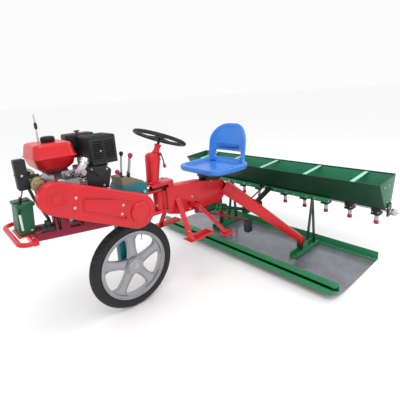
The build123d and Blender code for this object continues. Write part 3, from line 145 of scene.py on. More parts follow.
RED = material("red_paint_coat", (0.60, 0.007, 0.013), 0.30, bump=0.015, gleam=0.5)
DARK_RED = material("dark_red_coat", (0.25, 0.010, 0.032), 0.45, wear=0.3, wear_colour=(0.10, 0.02, 0.03))
GREEN = material("green_paint_coat", (0.006, 0.048, 0.022), 0.38)
BOX_GREEN = material("box_green_coat", (0.010, 0.105, 0.045), 0.42)
END_GREEN = material("end_green_coat", (0.018, 0.15, 0.07), 0.40)
# Painted light: a lighter copy of the hopper green for its inner faces, where more light falls
LIT_INNER_GREEN = material("inner_green_painted_light", (0.024, 0.21, 0.10), 0.45, crease_shade_depth=0.3)
RAIL_GREEN = material("rail_green_coat", (0.024, 0.21, 0.085), 0.38, wear=0.2, wear_colour=(0.06, 0.17, 0.10))
PALE_GREEN = material("pale_green_coat", (0.34, 0.70, 0.53), 0.40)
TEAL = material("teal_paint_coat", (0.010, 0.16, 0.19), 0.42, bump=0.05, grain=60)
BLACK = material("black_heat_coat", (0.012, 0.012, 0.014), 0.50, bump=0.03, gleam=0.4)
BOARD = material("board_sheet", (0.21, 0.215, 0.25), 0.24, metal=0.4, mottle=0.16, wear=0.35,
                 wear_colour=(0.30, 0.305, 0.33), crease_shade_depth=0.4)
STEEL = material("bright_plating", (0.55, 0.56, 0.58), 0.28, metal=0.9)
CHROME = material("polished_casting", (0.60, 0.61, 0.63), 0.24, metal=0.95, bump=0.05, grain=120, crease_shade_depth=0.8)
DARK_STEEL = material("dark_iron", (0.045, 0.05, 0.05), 0.55, metal=0.4, bump=0.06, grain=50)
CHAIN_STEEL = material("oiled_links", (0.15, 0.15, 0.155), 0.42, metal=0.7)
ALLOY = material("cast_alloy_skin", (0.36, 0.365, 0.385), 0.36, metal=0.7, bump=0.05, grain=140, crease_shade_depth=0.7)
ZINC = material("zinc_yellow", (0.33, 0.30, 0.15), 0.38, metal=0.45)
COPPER = material("worn_copper", (0.36, 0.20, 0.13), 0.42, metal=0.6)
RUBBER = material("tyre_black", (0.018, 0.018, 0.020), 0.62, bump=0.08, grain=160, mottle=0.12)
BLUE = material("blue_moulding", (0.030, 0.205, 0.68), 0.30, bump=0.03, grain=220, gleam=0.55)
PLASTIC = material("black_moulding", (0.018, 0.018, 0.021), 0.48, bump=0.05, grain=200)
CLEAR = material("milky_tube", (0.62, 0.66, 0.64), 0.22, alpha=0.8, transmission=0.3)
RED_PLASTIC = material("red_moulding", (0.46, 0.015, 0.06), 0.33)
WHITE = material("white_case", (0.80, 0.80, 0.78), 0.45)
KHAKI = material("khaki_cover", (0.17, 0.155, 0.10), 0.5, bump=0.06)

LOOKS = {
    "board_steel": BOARD, "green_paint": GREEN, "pale_green_paint": PALE_GREEN, "black_plastic": PLASTIC,
    "clear_plastic": CLEAR, "red_plastic": RED_PLASTIC, "dark_steel": DARK_STEEL, "bright_steel": STEEL,
    "red_paint": RED, "dark_red_paint": DARK_RED, "blue_plastic": BLUE, "black_paint": BLACK,
    "teal_paint": TEAL, "cast_alloy": ALLOY, "zinc": ZINC, "tyre_rubber": RUBBER, "khaki_paint": KHAKI,
}
SLOT_OF = {row["node"]: row["material_slot"] for row in frame["record"]["subparts"]}
NODE_LOOKS = {"sled_front_rail": RAIL_GREEN, "sled_rear_rail": RAIL_GREEN, "sled_channels": RAIL_GREEN,
              "hopper_beam": RAIL_GREEN, "battery_box": BOX_GREEN, "hopper_ends": END_GREEN}

BODY_OF = {node: body for body, held in frame["record"]["behaviour"]["bodies"].items() for node in held}
MM = 0.001
UP = Vector((0, 0, 1))
LEFT = Vector((0, 1, 0))
AHEAD = Vector((1, 0, 0))


# Mesh helpers, in millimetres in the machine's frame

def facing(place, direction):
    """Matrix that puts local Z along direction at place."""
    return Matrix.Translation(Vector(place)) @ Vector(direction).to_track_quat("Z", "Y").to_matrix().to_4x4()


def put_box(bm, low, high):
    size = [h - l for l, h in zip(low, high)]
    middle = Vector([(l + h) / 2 for l, h in zip(low, high)])
    bmesh.ops.create_cube(bm, size=1.0, matrix=Matrix.Translation(middle) @ Matrix.Diagonal((*size, 1.0)))


def put_slab(bm, place, direction, size):
    """Box of size across, along and thick, its thickness along direction."""
    bmesh.ops.create_cube(bm, size=1.0, matrix=facing(place, direction) @ Matrix.Diagonal((*size, 1.0)))


def put_bar(bm, start, end, across, width, thick):
    """Flat bar from start to end, its thickness along across, which is square to it."""
    start, end = Vector(start), Vector(end)
    along = end - start
    across = Vector(across).normalized()
    axes = Matrix((along.normalized(), across.cross(along).normalized(), across)).transposed().to_4x4()
    bmesh.ops.create_cube(bm, size=1.0, matrix=Matrix.Translation((start + end) / 2) @ axes
                          @ Matrix.Diagonal((along.length, width, thick, 1.0)))


def put_rod(bm, start, end, radius, end_radius=None, sides=20):
    start, end = Vector(start), Vector(end)
    along = end - start
    bmesh.ops.create_cone(
        bm, cap_ends=True, segments=sides, radius1=radius,
        radius2=radius if end_radius is None else end_radius,
        depth=along.length, matrix=facing((start + end) / 2, along),
    )


def put_ball(bm, place, radius, stretch=1.0):
    bmesh.ops.create_uvsphere(
        bm, u_segments=24, v_segments=14, radius=radius,
        matrix=Matrix.Translation(Vector(place)) @ Matrix.Diagonal((1, 1, stretch, 1)),
    )


def put_lathe(bm, place, direction, profile, steps=48):
    """Surface turned about direction from (radius, distance) pairs."""
    turn = facing(place, direction)
    rings = []
    for radius, along in profile:
        angles = [2 * math.pi * i / steps for i in range(steps)]
        rings.append([bm.verts.new(turn @ Vector((radius * math.cos(a), radius * math.sin(a), along)))
                      for a in angles])
    for ring, following in zip(rings, rings[1:]):
        for i in range(steps):
            j = (i + 1) % steps
            bm.faces.new((ring[i], ring[j], following[j], following[i]))
    bm.faces.new(list(reversed(rings[0])))
    bm.faces.new(rings[-1])


def put_torus(bm, place, direction, ring_r, pipe_r, steps=72, sides=14, ripple=0.0, waves=0):
    turn = facing(place, direction)
    loops = []
    for i in range(steps):
        a = 2 * math.pi * i / steps
        grip = pipe_r * (1.0 - ripple * (0.5 + 0.5 * math.cos(waves * a)))
        loop = []
        for k in range(sides):
            b = 2 * math.pi * k / sides
            reach = ring_r + grip * math.cos(b)
            spot = Vector((reach * math.cos(a), reach * math.sin(a), grip * math.sin(b)))
            loop.append(bm.verts.new(turn @ spot))
        loops.append(loop)
    for i in range(steps):
        following = loops[(i + 1) % steps]
        for k in range(sides):
            m = (k + 1) % sides
            bm.faces.new((loops[i][k], following[k], following[m], loops[i][m]))


def curve_points(points, fineness=8):
    """Points along a smooth curve through the given ones."""
    points = [Vector(p) for p in points]
    padded = [2 * points[0] - points[1]] + points + [2 * points[-1] - points[-2]]
    out = []
    for a, b, c, d in zip(padded, padded[1:], padded[2:], padded[3:]):
        for step in range(fineness):
            t = step / fineness
            out.append(0.5 * (2 * b + (c - a) * t + (2 * a - 5 * b + 4 * c - d) * t * t
                              + (3 * b - a - 3 * c + d) * t * t * t))
    return out + [points[-1]]


def put_pipe(bm, line, radius, sides=10):
    """Round pipe along a line of points, closed at both ends."""
    rings = []
    across = None
    for i, point in enumerate(line):
        along = (line[min(i + 1, len(line) - 1)] - line[max(i - 1, 0)]).normalized()
        if across is None:
            across = along.orthogonal().normalized()
        across = (across - along * across.dot(along)).normalized()
        other = along.cross(across)
        rings.append([bm.verts.new(point + radius * (math.cos(a) * across + math.sin(a) * other))
                      for a in (2 * math.pi * k / sides for k in range(sides))])
    for ring, following in zip(rings, rings[1:]):
        for k in range(sides):
            m = (k + 1) % sides
            bm.faces.new((ring[k], ring[m], following[m], following[k]))
    bm.faces.new(list(reversed(rings[0])))
    bm.faces.new(rings[-1])


def put_bolt(bm, place, direction, radius):
    """Hexagon head on a washer, standing on place."""
    direction = Vector(direction).normalized()
    place = Vector(place)
    put_rod(bm, place - direction, place + direction * 0.25 * radius, 1.5 * radius, sides=20)
    put_rod(bm, place, place + direction * 0.85 * radius, radius, sides=6)
    put_rod(bm, place + direction * 0.8 * radius, place + direction * 1.05 * radius,
            radius * 0.9, radius * 0.7, sides=6)


def put_teeth(bm, centre, count, radius, size, flat=False):
    """Slabs round a circle that faces sideways, or upwards where it lies flat."""
    for k in range(count):
        angle = 2 * math.pi * k / count
        c, s = math.cos(angle), math.sin(angle)
        outward = Vector((c, s, 0) if flat else (c, 0, s))
        put_slab(bm, centre + outward * radius, outward, size)


def round_spots(x, y, z, radius, angles):
    """Places on a circle that faces sideways, at the given angles."""
    return [(x + radius * math.cos(a), y, z + radius * math.sin(a)) for a in angles]


surfaces = {}


def on_surface(node, origin, direction):
    """Where a line from origin first meets a CAD node, in millimetres."""
    if node not in surfaces:
        mesh = nodes[node].data
        corners = [vertex.co / MM for vertex in mesh.vertices]
        surfaces[node] = BVHTree.FromPolygons(corners, [tuple(face.vertices) for face in mesh.polygons])
    place, _, _, _ = surfaces[node].ray_cast(Vector(origin), Vector(direction))
    return place


def bolts_on(bm, node, origins, direction, radius):
    """Bolts where lines from the origins meet a node; lines that miss it carry none."""
    for origin in origins:
        place = on_surface(node, origin, direction)
        if place is not None:
            put_bolt(bm, place, -Vector(direction), radius)


# Edges that turn by more than this many degrees are softened, on added pieces and on CAD forms
PIECE_EDGE, NODE_EDGE = 28, 32


def soften(bm, offset, least):
    """Rounded edges where two faces turn by more than the least angle."""
    sharp = [e for e in bm.edges if e.is_manifold and e.calc_face_angle(0.0) > math.radians(least)]
    bmesh.ops.bevel(bm, geom=sharp, offset=offset, segments=2, profile=0.5, affect="EDGES",
                    clamp_overlap=True)


def make(name, bm, body, look, bevel=0.0, smooth=38.0):
    """Object from a mesh in millimetres, riding on a body."""
    bmesh.ops.recalc_face_normals(bm, faces=bm.faces)
    if bevel:
        soften(bm, bevel, PIECE_EDGE)
    bmesh.ops.scale(bm, vec=(MM, MM, MM), verts=bm.verts)
    mesh = bpy.data.meshes.new(name)
    bm.to_mesh(mesh)
    bm.free()
    mesh.shade_smooth()
    mesh.set_sharp_from_angle(angle=math.radians(smooth))
    mesh.materials.append(look)
    piece = bpy.data.objects.new(name, mesh)
    scene.collection.objects.link(piece)
    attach(piece, body)
    return piece


def dress(node, look, bevel):
    """The CAD node's own form with softened edges."""
    bm = bmesh.new()
    bm.from_mesh(nodes[node].data)
    bmesh.ops.scale(bm, vec=(1 / MM, 1 / MM, 1 / MM), verts=bm.verts)
    bmesh.ops.remove_doubles(bm, verts=bm.verts, dist=0.02)
    bmesh.ops.dissolve_limit(bm, angle_limit=math.radians(1.0), verts=bm.verts, edges=bm.edges)
    soften(bm, bevel, NODE_EDGE)
    piece = make(node + "_skin", bm, BODY_OF[node], look)
    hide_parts(node)
    return piece


# Edge softening, in millimetres, of the nodes that keep their CAD form
EDGES = {
    "wheel_rim": 3.0, "seat": 3.0, "belt_cover": 1.5, "gooseneck": 2.5, "tow_arms": 2.5, "gearbox": 4.0,
    "final_drive": 5.0, "battery_box": 1.5, "fuel_tank": 2.5, "muffler": 2.0, "head_shroud": 4.0,
    "engine_block": 4.0, "air_cleaner": 2.0, "switch_box": 3.0, "sled_front_rail": 1.2, "column_base": 1.5,
    "steering_column": 2.5, "seed_meters": 3.0, "tube_tips": 3.0, "seed_reducer": 3.0, "recoil_cover": 5.0,
    "starter_motor": 2.5, "hopper_walls": 0.6, "hopper_ends": 0.6, "hopper_floor": 0.6, "sled_board": 0.8,
}
PLAIN_EDGE = 1.4
# Nodes that a piece below replaces with its own mesh
REMADE = ("tyre", "steering_wheel", "seed_chain", "lever_knobs")
skins = {}
for node, piece in nodes.items():
    look = NODE_LOOKS.get(node, LOOKS[SLOT_OF[node]])
    piece.data.materials.clear()
    piece.data.materials.append(look)
    if node not in REMADE:
        skins[node] = dress(node, look, EDGES.get(node, PLAIN_EDGE))


def repaint(node, look, low, high, way=None):
    """Second look for a node's faces whose middles lie in a box, in millimetres, and that look along way."""
    mesh = skins[node].data
    mesh.materials.append(look)
    for face in mesh.polygons:
        turned = way is None or face.normal.dot(way) > 0.5
        if turned and all(l <= c / MM <= h for l, c, h in zip(low, face.center, high)):
            face.material_index = len(mesh.materials) - 1


repaint("head_rails", DARK_STEEL, (0, -500, 738), (930, 500, 1000))
repaint("gearbox", RED, (0, -500, 0), (378, 500, 1000))
repaint("lift_link", DARK_STEEL, (-1000, -500, 0), (-566, 500, 1000))
# Painted light: the hopper's inner wall faces and the floor's top take the lighter green, while the outer
# faces keep the darker green
repaint("hopper_walls", LIT_INNER_GREEN, (-1130, -1030, 470), (-1000, 1030, 700), way=AHEAD)
repaint("hopper_walls", LIT_INNER_GREEN, (-1000, -1030, 470), (-820, 1030, 700), way=-AHEAD)
repaint("hopper_floor", LIT_INNER_GREEN, (-1100, -1030, 470), (-900, 1030, 500), way=UP)

# Drive wheel
AXLE = Vector((490, 0, 292))
TYRE_R, TYRE_HALF, TYRE_MID_R, BEAD_R = 291.5, 34.5, 257.0, 230.5
# height over the bead and place across, up one wall
WALL = ((0, -25.0), (5, -27.5), (8, -29.5), (10, -29.0), (17, -33.0))
LUGS = 46
TREAD_DEPTH, TREAD_FROM_R = 3.4, TYRE_MID_R + 12
ZIGZAG, ZIGZAG_HALF = 3.0, 1.8
LUG_FROM, LUG_TO, LUG_SLANT, LUG_GAP = 9.0, 31.0, 0.028, 0.24


def tread_cut(angle, y):
    """Depth of the tread grooves at an angle round the tyre and a place across it."""
    pitch = angle * LUGS / (2 * math.pi)
    centre = ZIGZAG * (abs((pitch % 1.0) - 0.5) * 4 - 1)
    if abs(y - centre) < ZIGZAG_HALF:
        return TREAD_DEPTH
    if LUG_FROM < abs(y) < LUG_TO and (pitch + LUG_SLANT * abs(y) + (0.5 if y > 0 else 0.0)) % 1.0 < LUG_GAP:
        return TREAD_DEPTH
    return 0.0


bm = bmesh.new()
AROUND, CROWN = 552, 41
section = [(BEAD_R + h, y) for h, y in WALL]
crown = []
for k in range(CROWN):
    t = math.pi * (k / (CROWN - 1) - 0.5)
    crown.append((TYRE_MID_R + (TYRE_R - TYRE_MID_R) * math.cos(t), TYRE_HALF * math.sin(t)))
section = section + crown + [(r, -y) for r, y in reversed(section)]
turn = facing(AXLE, LEFT)
rows = []
for i in range(AROUND):
    angle = 2 * math.pi * i / AROUND
    row = []
    for r, y in section:
        cut_r = r - (tread_cut(angle, y) if r > TREAD_FROM_R else 0.0)
        row.append(bm.verts.new(turn @ Vector((cut_r * math.cos(angle), cut_r * math.sin(angle), y))))
    rows.append(row)
for i in range(AROUND):
    following = rows[(i + 1) % AROUND]
    for k in range(len(section)):
        m = (k + 1) % len(section)
        bm.faces.new((rows[i][k], following[k], following[m], rows[i][m]))
tyre = make("tyre_tread", bm, "drive_wheel", RUBBER, smooth=50)
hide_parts("tyre")

# radius and half width along the raised edge of a spoke
SPOKE_EDGES = ((62, 28), (112, 22), (160, 24), (188, 35))
SPOKE_FACE, RIM_FACE, HUB_FACE = 13, 26, 31
RIM_BEADS = ((226, 4.5), (209, 3.0))
bm = bmesh.new()
for hand in (-1, 1):
    for ring_r, pipe_r in RIM_BEADS:
        put_torus(bm, AXLE + hand * RIM_FACE * LEFT, LEFT, ring_r, pipe_r, steps=120)
    for k in range(5):
        angle = math.radians(90 + 72 * k)
        outward = Vector((-math.cos(angle), 0, math.sin(angle)))
        sideways = LEFT.cross(outward)
        for edge in (-1, 1):
            line = [AXLE + hand * SPOKE_FACE * LEFT + outward * r + sideways * edge * w
                    for r, w in SPOKE_EDGES]
            put_pipe(bm, curve_points(line), 3.8, 10)
put_rod(bm, AXLE + (HUB_FACE - 1) * LEFT, AXLE + (HUB_FACE + 7) * LEFT, 57, 54, sides=6)
make("wheel_castings", bm, "drive_wheel", ALLOY, bevel=0.8)

bm = bmesh.new()
put_bolt(bm, AXLE + (HUB_FACE + 7) * LEFT, LEFT, 12.0)
put_rod(bm, AXLE + 40 * LEFT, AXLE + 56 * LEFT, 6.5)
VALVE_DIR = Vector((-0.42, 0, 0.907))
put_rod(bm, AXLE + 4 * LEFT + VALVE_DIR * 206, AXLE + 14 * LEFT + VALVE_DIR * 176, 4.0, 3.0)
put_rod(bm, AXLE + 14 * LEFT + VALVE_DIR * 176, AXLE + 16 * LEFT + VALVE_DIR * 168, 4.4)
make("wheel_fasteners", bm, "drive_wheel", STEEL, bevel=0.5)

# Belt cover: pressed bead round the panel, rings at the front end and the boss's rounded cap
COVER_FACE_Y = 190
COVER_BEAD = ((540, 789), (666, 834), (775, 869), (795, 869), (804, 857), (808, 821), (802, 798), (707, 748),
              (604, 692), (588, 692), (583, 702))
COVER_RING_AT = Vector((926, 0, 898))
COVER_BOSS_AT = Vector((495, 0, 705))
bm = bmesh.new()
put_pipe(bm, curve_points([(x, COVER_FACE_Y + 2.5, z) for x, z in COVER_BEAD]), 3.4, 12)
for radius in (27, 50):
    spot = on_surface("belt_cover", COVER_RING_AT + radius * AHEAD + 260 * LEFT, -LEFT)
    put_torus(bm, (COVER_RING_AT.x, spot.y, COVER_RING_AT.z), LEFT, radius, 2.2, steps=64, sides=8)
put_lathe(bm, COVER_BOSS_AT + COVER_FACE_Y * LEFT, LEFT,
          ((62, -1), (61.5, 8), (59, 13), (54, 16.5), (46, 18)), 72)
make("cover_seams", bm, "power_head", RED, smooth=50)

COVER_BOLTS = ((839, 882), (852, 833), (596, 775), (610, 726))
bm = bmesh.new()
bolts_on(bm, "belt_cover", [(x, 260, z) for x, z in COVER_BOLTS], -LEFT, 5.0)
make("cover_bolts", bm, "power_head", STEEL, bevel=0.4)

# Engine: castings, exhaust elbow, fasteners, governor spring, trims and leads
bm = bmesh.new()
for k in range(6):
    put_box(bm, (742, 84, 884 + 13 * k), (776, 110, 888 + 13 * k))
put_lathe(bm, (752, 118, 985), -LEFT, ((14, 0), (16, 3), (16, 40), (24, 42), (24, 54), (12, 56)), 28)
put_box(bm, (738, 62, 960), (768, 96, 984))
put_box(bm, (772, 70, 958), (850, 74, 1004))
put_lathe(bm, (826, 74, 984), LEFT, ((13, 0), (13, 12), (8, 14), (8, 24)), 24)
put_lathe(bm, (872, 100, 948), LEFT, ((26, 0), (26, 8), (20, 11), (20, 20), (9, 21)), 32)
put_box(bm, (774, 76, 990), (842, 79, 1000))
put_bar(bm, (948, 100, 1012), (902, 100, 958), LEFT, 26, 6)
put_box(bm, (896, 60, 960), (926, 100, 998))
make("engine_castings", bm, "power_head", ALLOY, bevel=1.0)

bm = bmesh.new()
put_pipe(bm, curve_points([(784, 58, 960), (764, 80, 988), (742, 84, 1014), (722, 64, 1042)]), 24.0, 28)
for spot, way in (((764, 80, 988), (-0.55, 0.45, 0.7)), ((732, 76, 1028), (-0.55, -0.3, 0.77))):
    put_lathe(bm, spot, way, ((25, -6), (29, -4), (29, 4), (25, 6)), 36)
make("heat_shield", bm, "power_head", CHROME)

SHROUD_BOLTS = ((612, 972), (700, 984), (640, 884), (722, 890))
RECOIL_AT = Vector((850, -157, 885))
bm = bmesh.new()
bolts_on(bm, "engine_block", [(x, 200, z) for x in (758, 906) for z in (826, 940)], -LEFT, 5.0)
bolts_on(bm, "head_shroud", [(x, 200, z) for x, z in SHROUD_BOLTS], -LEFT, 4.0)
bolts_on(bm, "muffler", [(618, 200, 1072)], -LEFT, 5.0)
bolts_on(bm, "recoil_cover", round_spots(RECOIL_AT.x, -400, RECOIL_AT.z, 82, (0.5, 2.6, 3.7, 5.7)), LEFT, 5.0)
spring = [Vector((778 + 62 * t, 82 + 4.5 * math.cos(60 * t), 976 + 8 * t + 4.5 * math.sin(60 * t)))
          for t in (i / 120 for i in range(121))]
put_pipe(bm, spring, 0.9, 6)
put_pipe(bm, curve_points([(842, 78, 995), (800, 96, 1003), (766, 106, 996), (754, 100, 990)]), 1.8, 8)
put_rod(bm, (906, 96, 958), (906, 122, 958), 5)
make("engine_fasteners", bm, "power_head", STEEL)

bm = bmesh.new()
put_teeth(bm, RECOIL_AT, 16, 58, (7, 3, 40))
put_lathe(bm, RECOIL_AT, -LEFT, ((34, -2), (34, 3), (28, 6), (10, 7)), 40)
put_rod(bm, (938, -128, 925), (962, -128, 940), 8)
put_box(bm, (958, -152, 934), (970, -104, 946))
make("recoil_vents", bm, "power_head", PLASTIC, bevel=1.0)

MUFFLER_TOP = 1156
bm = bmesh.new()
put_lathe(bm, (610, 30, 984), UP, ((30, 0), (30, 8), (20, 9), (18, 15)), 32)
put_box(bm, (528, -110, MUFFLER_TOP), (672, 47, MUFFLER_TOP + 2))
for k in range(5):
    put_box(bm, (540, -96 + 30 * k, MUFFLER_TOP + 1), (660, -84 + 30 * k, MUFFLER_TOP + 3.4))
make("muffler_trim", bm, "power_head", BLACK, bevel=0.8)

FUEL_CAP_AT = Vector((842, -89, 1174))
bm = bmesh.new()
put_lathe(bm, FUEL_CAP_AT, UP, ((30, -2), (29, 2), (24, 3), (10, 4)), 40)
put_teeth(bm, FUEL_CAP_AT - 13 * UP, 22, 34, (5, 20, 4), flat=True)
make("fuel_cap_grip", bm, "power_head", PLASTIC, bevel=0.8)

bm = bmesh.new()
put_box(bm, (572, -242, 1090), (722, -120, 1094))
put_lathe(bm, (648, -182, 1164), UP, ((9, 0), (9, 8), (5, 9), (5, 18)), 20)
put_slab(bm, (648, -182, 1178), LEFT, (34, 8, 5))
for x in (588, 708):
    put_slab(bm, (x, -124, 1096), LEFT, (16, 34, 5))
make("cleaner_trim", bm, "power_head", PLASTIC, bevel=1.0)

bm = bmesh.new()
STARTER_AT = Vector((966, 0, 965))
for y in (-24, 18, 62, 90):
    put_torus(bm, STARTER_AT + y * LEFT, LEFT, 35.5, 2.4, steps=48, sides=8)
put_lathe(bm, (984, -22, 1018), LEFT, ((16, 0), (19, 3), (19, 62), (14, 66), (6, 68)), 28)
put_box(bm, (972, -10, 990), (988, 40, 1004))
make("starter_details", bm, "power_head", ZINC, bevel=1.0)

bm = bmesh.new()
for k in range(2):
    angle = math.radians(40 + 180 * k)
    put_bolt(bm, STARTER_AT + 103 * LEFT + 20 * Vector((math.cos(angle), 0, math.sin(angle))), LEFT, 4.0)
put_bolt(bm, (984, 46, 1018), LEFT, 5.0)
put_lathe(bm, (1029, 71, 1020), LEFT, ((6, 0), (6, 3), (4, 4)), 20)
make("starter_terminals", bm, "power_head", STEEL, bevel=0.4)

bm = bmesh.new()
put_pipe(bm, curve_points([(1036, 56, 952), (1044, 62, 930), (1052, 56, 906), (1053, 44, 884)]), 3.0, 10)
put_pipe(bm, curve_points([(1000, 44, 1010), (992, 60, 1030), (988, 54, 1022)]), 3.6, 10)
put_pipe(bm, curve_points([(660, 84, 940), (690, 98, 968), (728, 106, 1000), (744, 98, 1004)]), 3.6, 10)
put_box(bm, (1006, 22, 1020), (1054, 74, 1023))
make("engine_loom", bm, "power_head", PLASTIC, bevel=0.4)

bm = bmesh.new()
put_lathe(bm, STARTER_AT + 95 * LEFT, LEFT, ((28, 0), (26, 8), (14, 10), (12, 16), (5, 17)), 32)
make("starter_end", bm, "power_head", COPPER, bevel=0.8)

# Switch box stay, engine mount and the sheet between the rails
bm = bmesh.new()
for low, high in (((1012, 78, 954), (1000, 84, 900)), ((1000, 84, 900), (952, 84, 776))):
    put_rod(bm, low, high, 8.0, sides=4)
put_box(bm, (936, 72, 708), (990, 104, 742))
put_rod(bm, (962, 88, 740), (962, 88, 776), 16)
put_lathe(bm, (962, 88, 740), UP, ((24, 0), (24, 8), (15, 12)), 28)
put_rod(bm, (990, 66, 742), (990, 112, 742), 11)
make("engine_mount", bm, "power_head", DARK_STEEL, bevel=1.2)
bm = bmesh.new()
put_box(bm, (922, 68, 706), (934, 110, 786))
make("mount_plate", bm, "power_head", DARK_RED, bevel=1.2)
bm = bmesh.new()
put_box(bm, (812, -12, 712), (916, 72, 716))
make("engine_sheet", bm, "power_head", ALLOY, bevel=0.8)

# Muffler louvres: a lip under each slot, its grey lighter than the black muffler as a painted highlight along
# the slot's edge
LOUVRES = [(x, 1043 + 13 * k) for x in (560, 640) for k in range(7)]
LOUVRE_HALF = 28
bm = bmesh.new()
for x, z in LOUVRES:
    spot = on_surface("muffler", (x, 300, z - 5), -LEFT)
    if spot is not None:
        put_box(bm, (x - LOUVRE_HALF, spot.y - 1.5, z - 6.5), (x + LOUVRE_HALF, spot.y + 2.0, z - 4.5))
make("muffler_louvres", bm, "power_head", DARK_STEEL, bevel=0.5)

# Battery box: strap with terminals, case, holes and bolts
bm = bmesh.new()
put_box(bm, (1014, 6, 884), (1084, 30, 887))
put_box(bm, (1012, 6, 870), (1015, 30, 887))
for spot in ((1040, -20, 884), (1064, 58, 884)):
    put_lathe(bm, spot, UP, ((9, 0), (9, 5), (6, 6), (6, 14), (3, 15)), 20)
make("battery_strap", bm, "power_head", DARK_STEEL, bevel=0.6)
bm = bmesh.new()
put_box(bm, (1066, 63, 752), (1077, 75, 836))
make("battery_case", bm, "power_head", WHITE, bevel=1.0)
# Painted shade: flat black discs on the box face stand for its holes, their dark insides painted on
bm = bmesh.new()
for x, z, radius in ((1070, 856, 8.0), (1071, 838, 5.0)):
    spot = on_surface("battery_box", (x, 300, z), -LEFT)
    if spot is not None:
        put_lathe(bm, spot - LEFT, LEFT, ((radius, 0), (radius, 1.6), (0.7 * radius, 1.8)), 24)
make("battery_holes", bm, "power_head", BLACK)

bm = bmesh.new()
bolts_on(bm, "battery_box", [(1036, 200, 746)], -LEFT, 4.0)
bolts_on(bm, "front_bumper", [(1052, side * 150, 900) for side in (-1, 1)], -UP, 5.0)
bolts_on(bm, "head_rails", [(x, y, 900) for x in (640, 700, 800, 960) for y in (-30, 90)], -UP, 5.0)
make("tray_bolts", bm, "power_head", STEEL, bevel=0.4)

# Gearbox and final drive leg: bolts, ribs and round caps
LEG_TOP_X, LEG_TOP_Z, LEG_FACE_Y = 475, 700, -112
LEG_BOLT_ANGLES = (0.4, 1.4, 2.4, 3.4, 4.4, 5.4)
bm = bmesh.new()
bolts_on(bm, "gearbox", [(x, 200, z) for x in (406, 540) for z in (650, 790)], -LEFT, 6.0)
bolts_on(bm, "final_drive", round_spots(AXLE.x, 0, AXLE.z, 42, (0.6, 1.7, 2.7, 3.9, 5.0)), -LEFT, 5.0)
bolts_on(bm, "final_drive", round_spots(LEG_TOP_X, -400, LEG_TOP_Z, 46, LEG_BOLT_ANGLES), LEFT, 5.0)
bolts_on(bm, "final_drive", round_spots(AXLE.x, -400, AXLE.z, 42, LEG_BOLT_ANGLES), LEFT, 5.0)
make("gearbox_bolts", bm, "power_head", STEEL, bevel=0.4)

bm = bmesh.new()
for z in (430, 520, 610):
    x = AXLE.x + (LEG_TOP_X - AXLE.x) * (z - AXLE.z) / (LEG_TOP_Z - AXLE.z)
    put_box(bm, (x - 40, -116, z - 4), (x + 40, -110, z + 4))
put_lathe(bm, (LEG_TOP_X, LEG_FACE_Y, LEG_TOP_Z), -LEFT, ((44, -2), (42, 5), (30, 7), (12, 8)), 40)
put_lathe(bm, (AXLE.x, LEG_FACE_Y, AXLE.z), -LEFT, ((40, -2), (38, 5), (26, 8), (10, 9)), 40)
for x in (420, 470, 520):
    put_box(bm, (x - 4, 111, 640), (x + 4, 116, 800))
make("gearbox_ribs", bm, "power_head", TEAL, bevel=1.5)

# Gear on the kingpin
bm = bmesh.new()
put_teeth(bm, Vector((245, 0, 765)), 30, 49, (5.5, 16, 8), flat=True)
make("kingpin_teeth", bm, "power_head", DARK_STEEL, bevel=0.8)

# Hand levers: foot and knob of each, and the knob's radius and look
LEVERS = (
    ((489, -12, 870), (468, -8, 1026), 13.0, 0),
    ((462, 34, 868), (424, 20, 1010), 15.0, 1),
    ((512, 66, 890), (540, 58, 934), 14.0, 1),
    ((436, -30, 864), (404, -26, 1004), 10.0, 0),
)
# radius and distance along a knob, as shares of its radius
KNOB_SHAPE = ((0.35, -0.5), (0.55, -0.1), (0.9, 0.55), (1.0, 1.0), (0.9, 1.5), (0.55, 1.88), (0.2, 1.99))
bm = bmesh.new()
for foot, knob, radius, tint in LEVERS:
    before = len(bm.faces)
    along = (Vector(knob) - Vector(foot)).normalized()
    put_lathe(bm, Vector(knob) - along * radius, along, [(r * radius, h * radius) for r, h in KNOB_SHAPE], 28)
    bm.faces.ensure_lookup_table()
    for face in bm.faces[before:]:
        face.material_index = tint
knobs = make("lever_knob_set", bm, "power_head", PLASTIC, smooth=60)
knobs.data.materials.append(RED_PLASTIC)
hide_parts("lever_knobs")

COIL_R, COIL_FROM, COIL_RISE, COIL_TURN = 8, 14, 26, 44
bm = bmesh.new()
for foot, knob, _, _ in LEVERS:
    along = (Vector(knob) - Vector(foot)).normalized()
    put_lathe(bm, Vector(foot), along, ((13, -6), (12, 4), (9, 12), (6.5, 16)), 20)
    across = along.orthogonal().normalized()
    other = along.cross(across)
    coil = [Vector(foot) + along * (COIL_FROM + COIL_RISE * t)
            + COIL_R * (math.cos(COIL_TURN * t) * across + math.sin(COIL_TURN * t) * other)
            for t in (i / 90 for i in range(91))]
    put_pipe(bm, coil, 1.0, 6)
put_lathe(bm, (846, -252, 1208), UP, ((5, 0), (8, 6), (9, 20), (8, 34), (5, 40)), 20)
make("lever_feet", bm, "power_head", DARK_STEEL)

# Steering wheel: ribbed grip, three dished spokes and a hub cap
TILT = math.radians(24)
SHAFT_DIR = Vector((-math.sin(TILT), 0, math.cos(TILT)))
COLUMN_AT = Vector((312, 0, 798))
WHEEL_AT = COLUMN_AT + 312 * SHAFT_DIR
STEER_R, GRIP_R = 165.0, 13.0
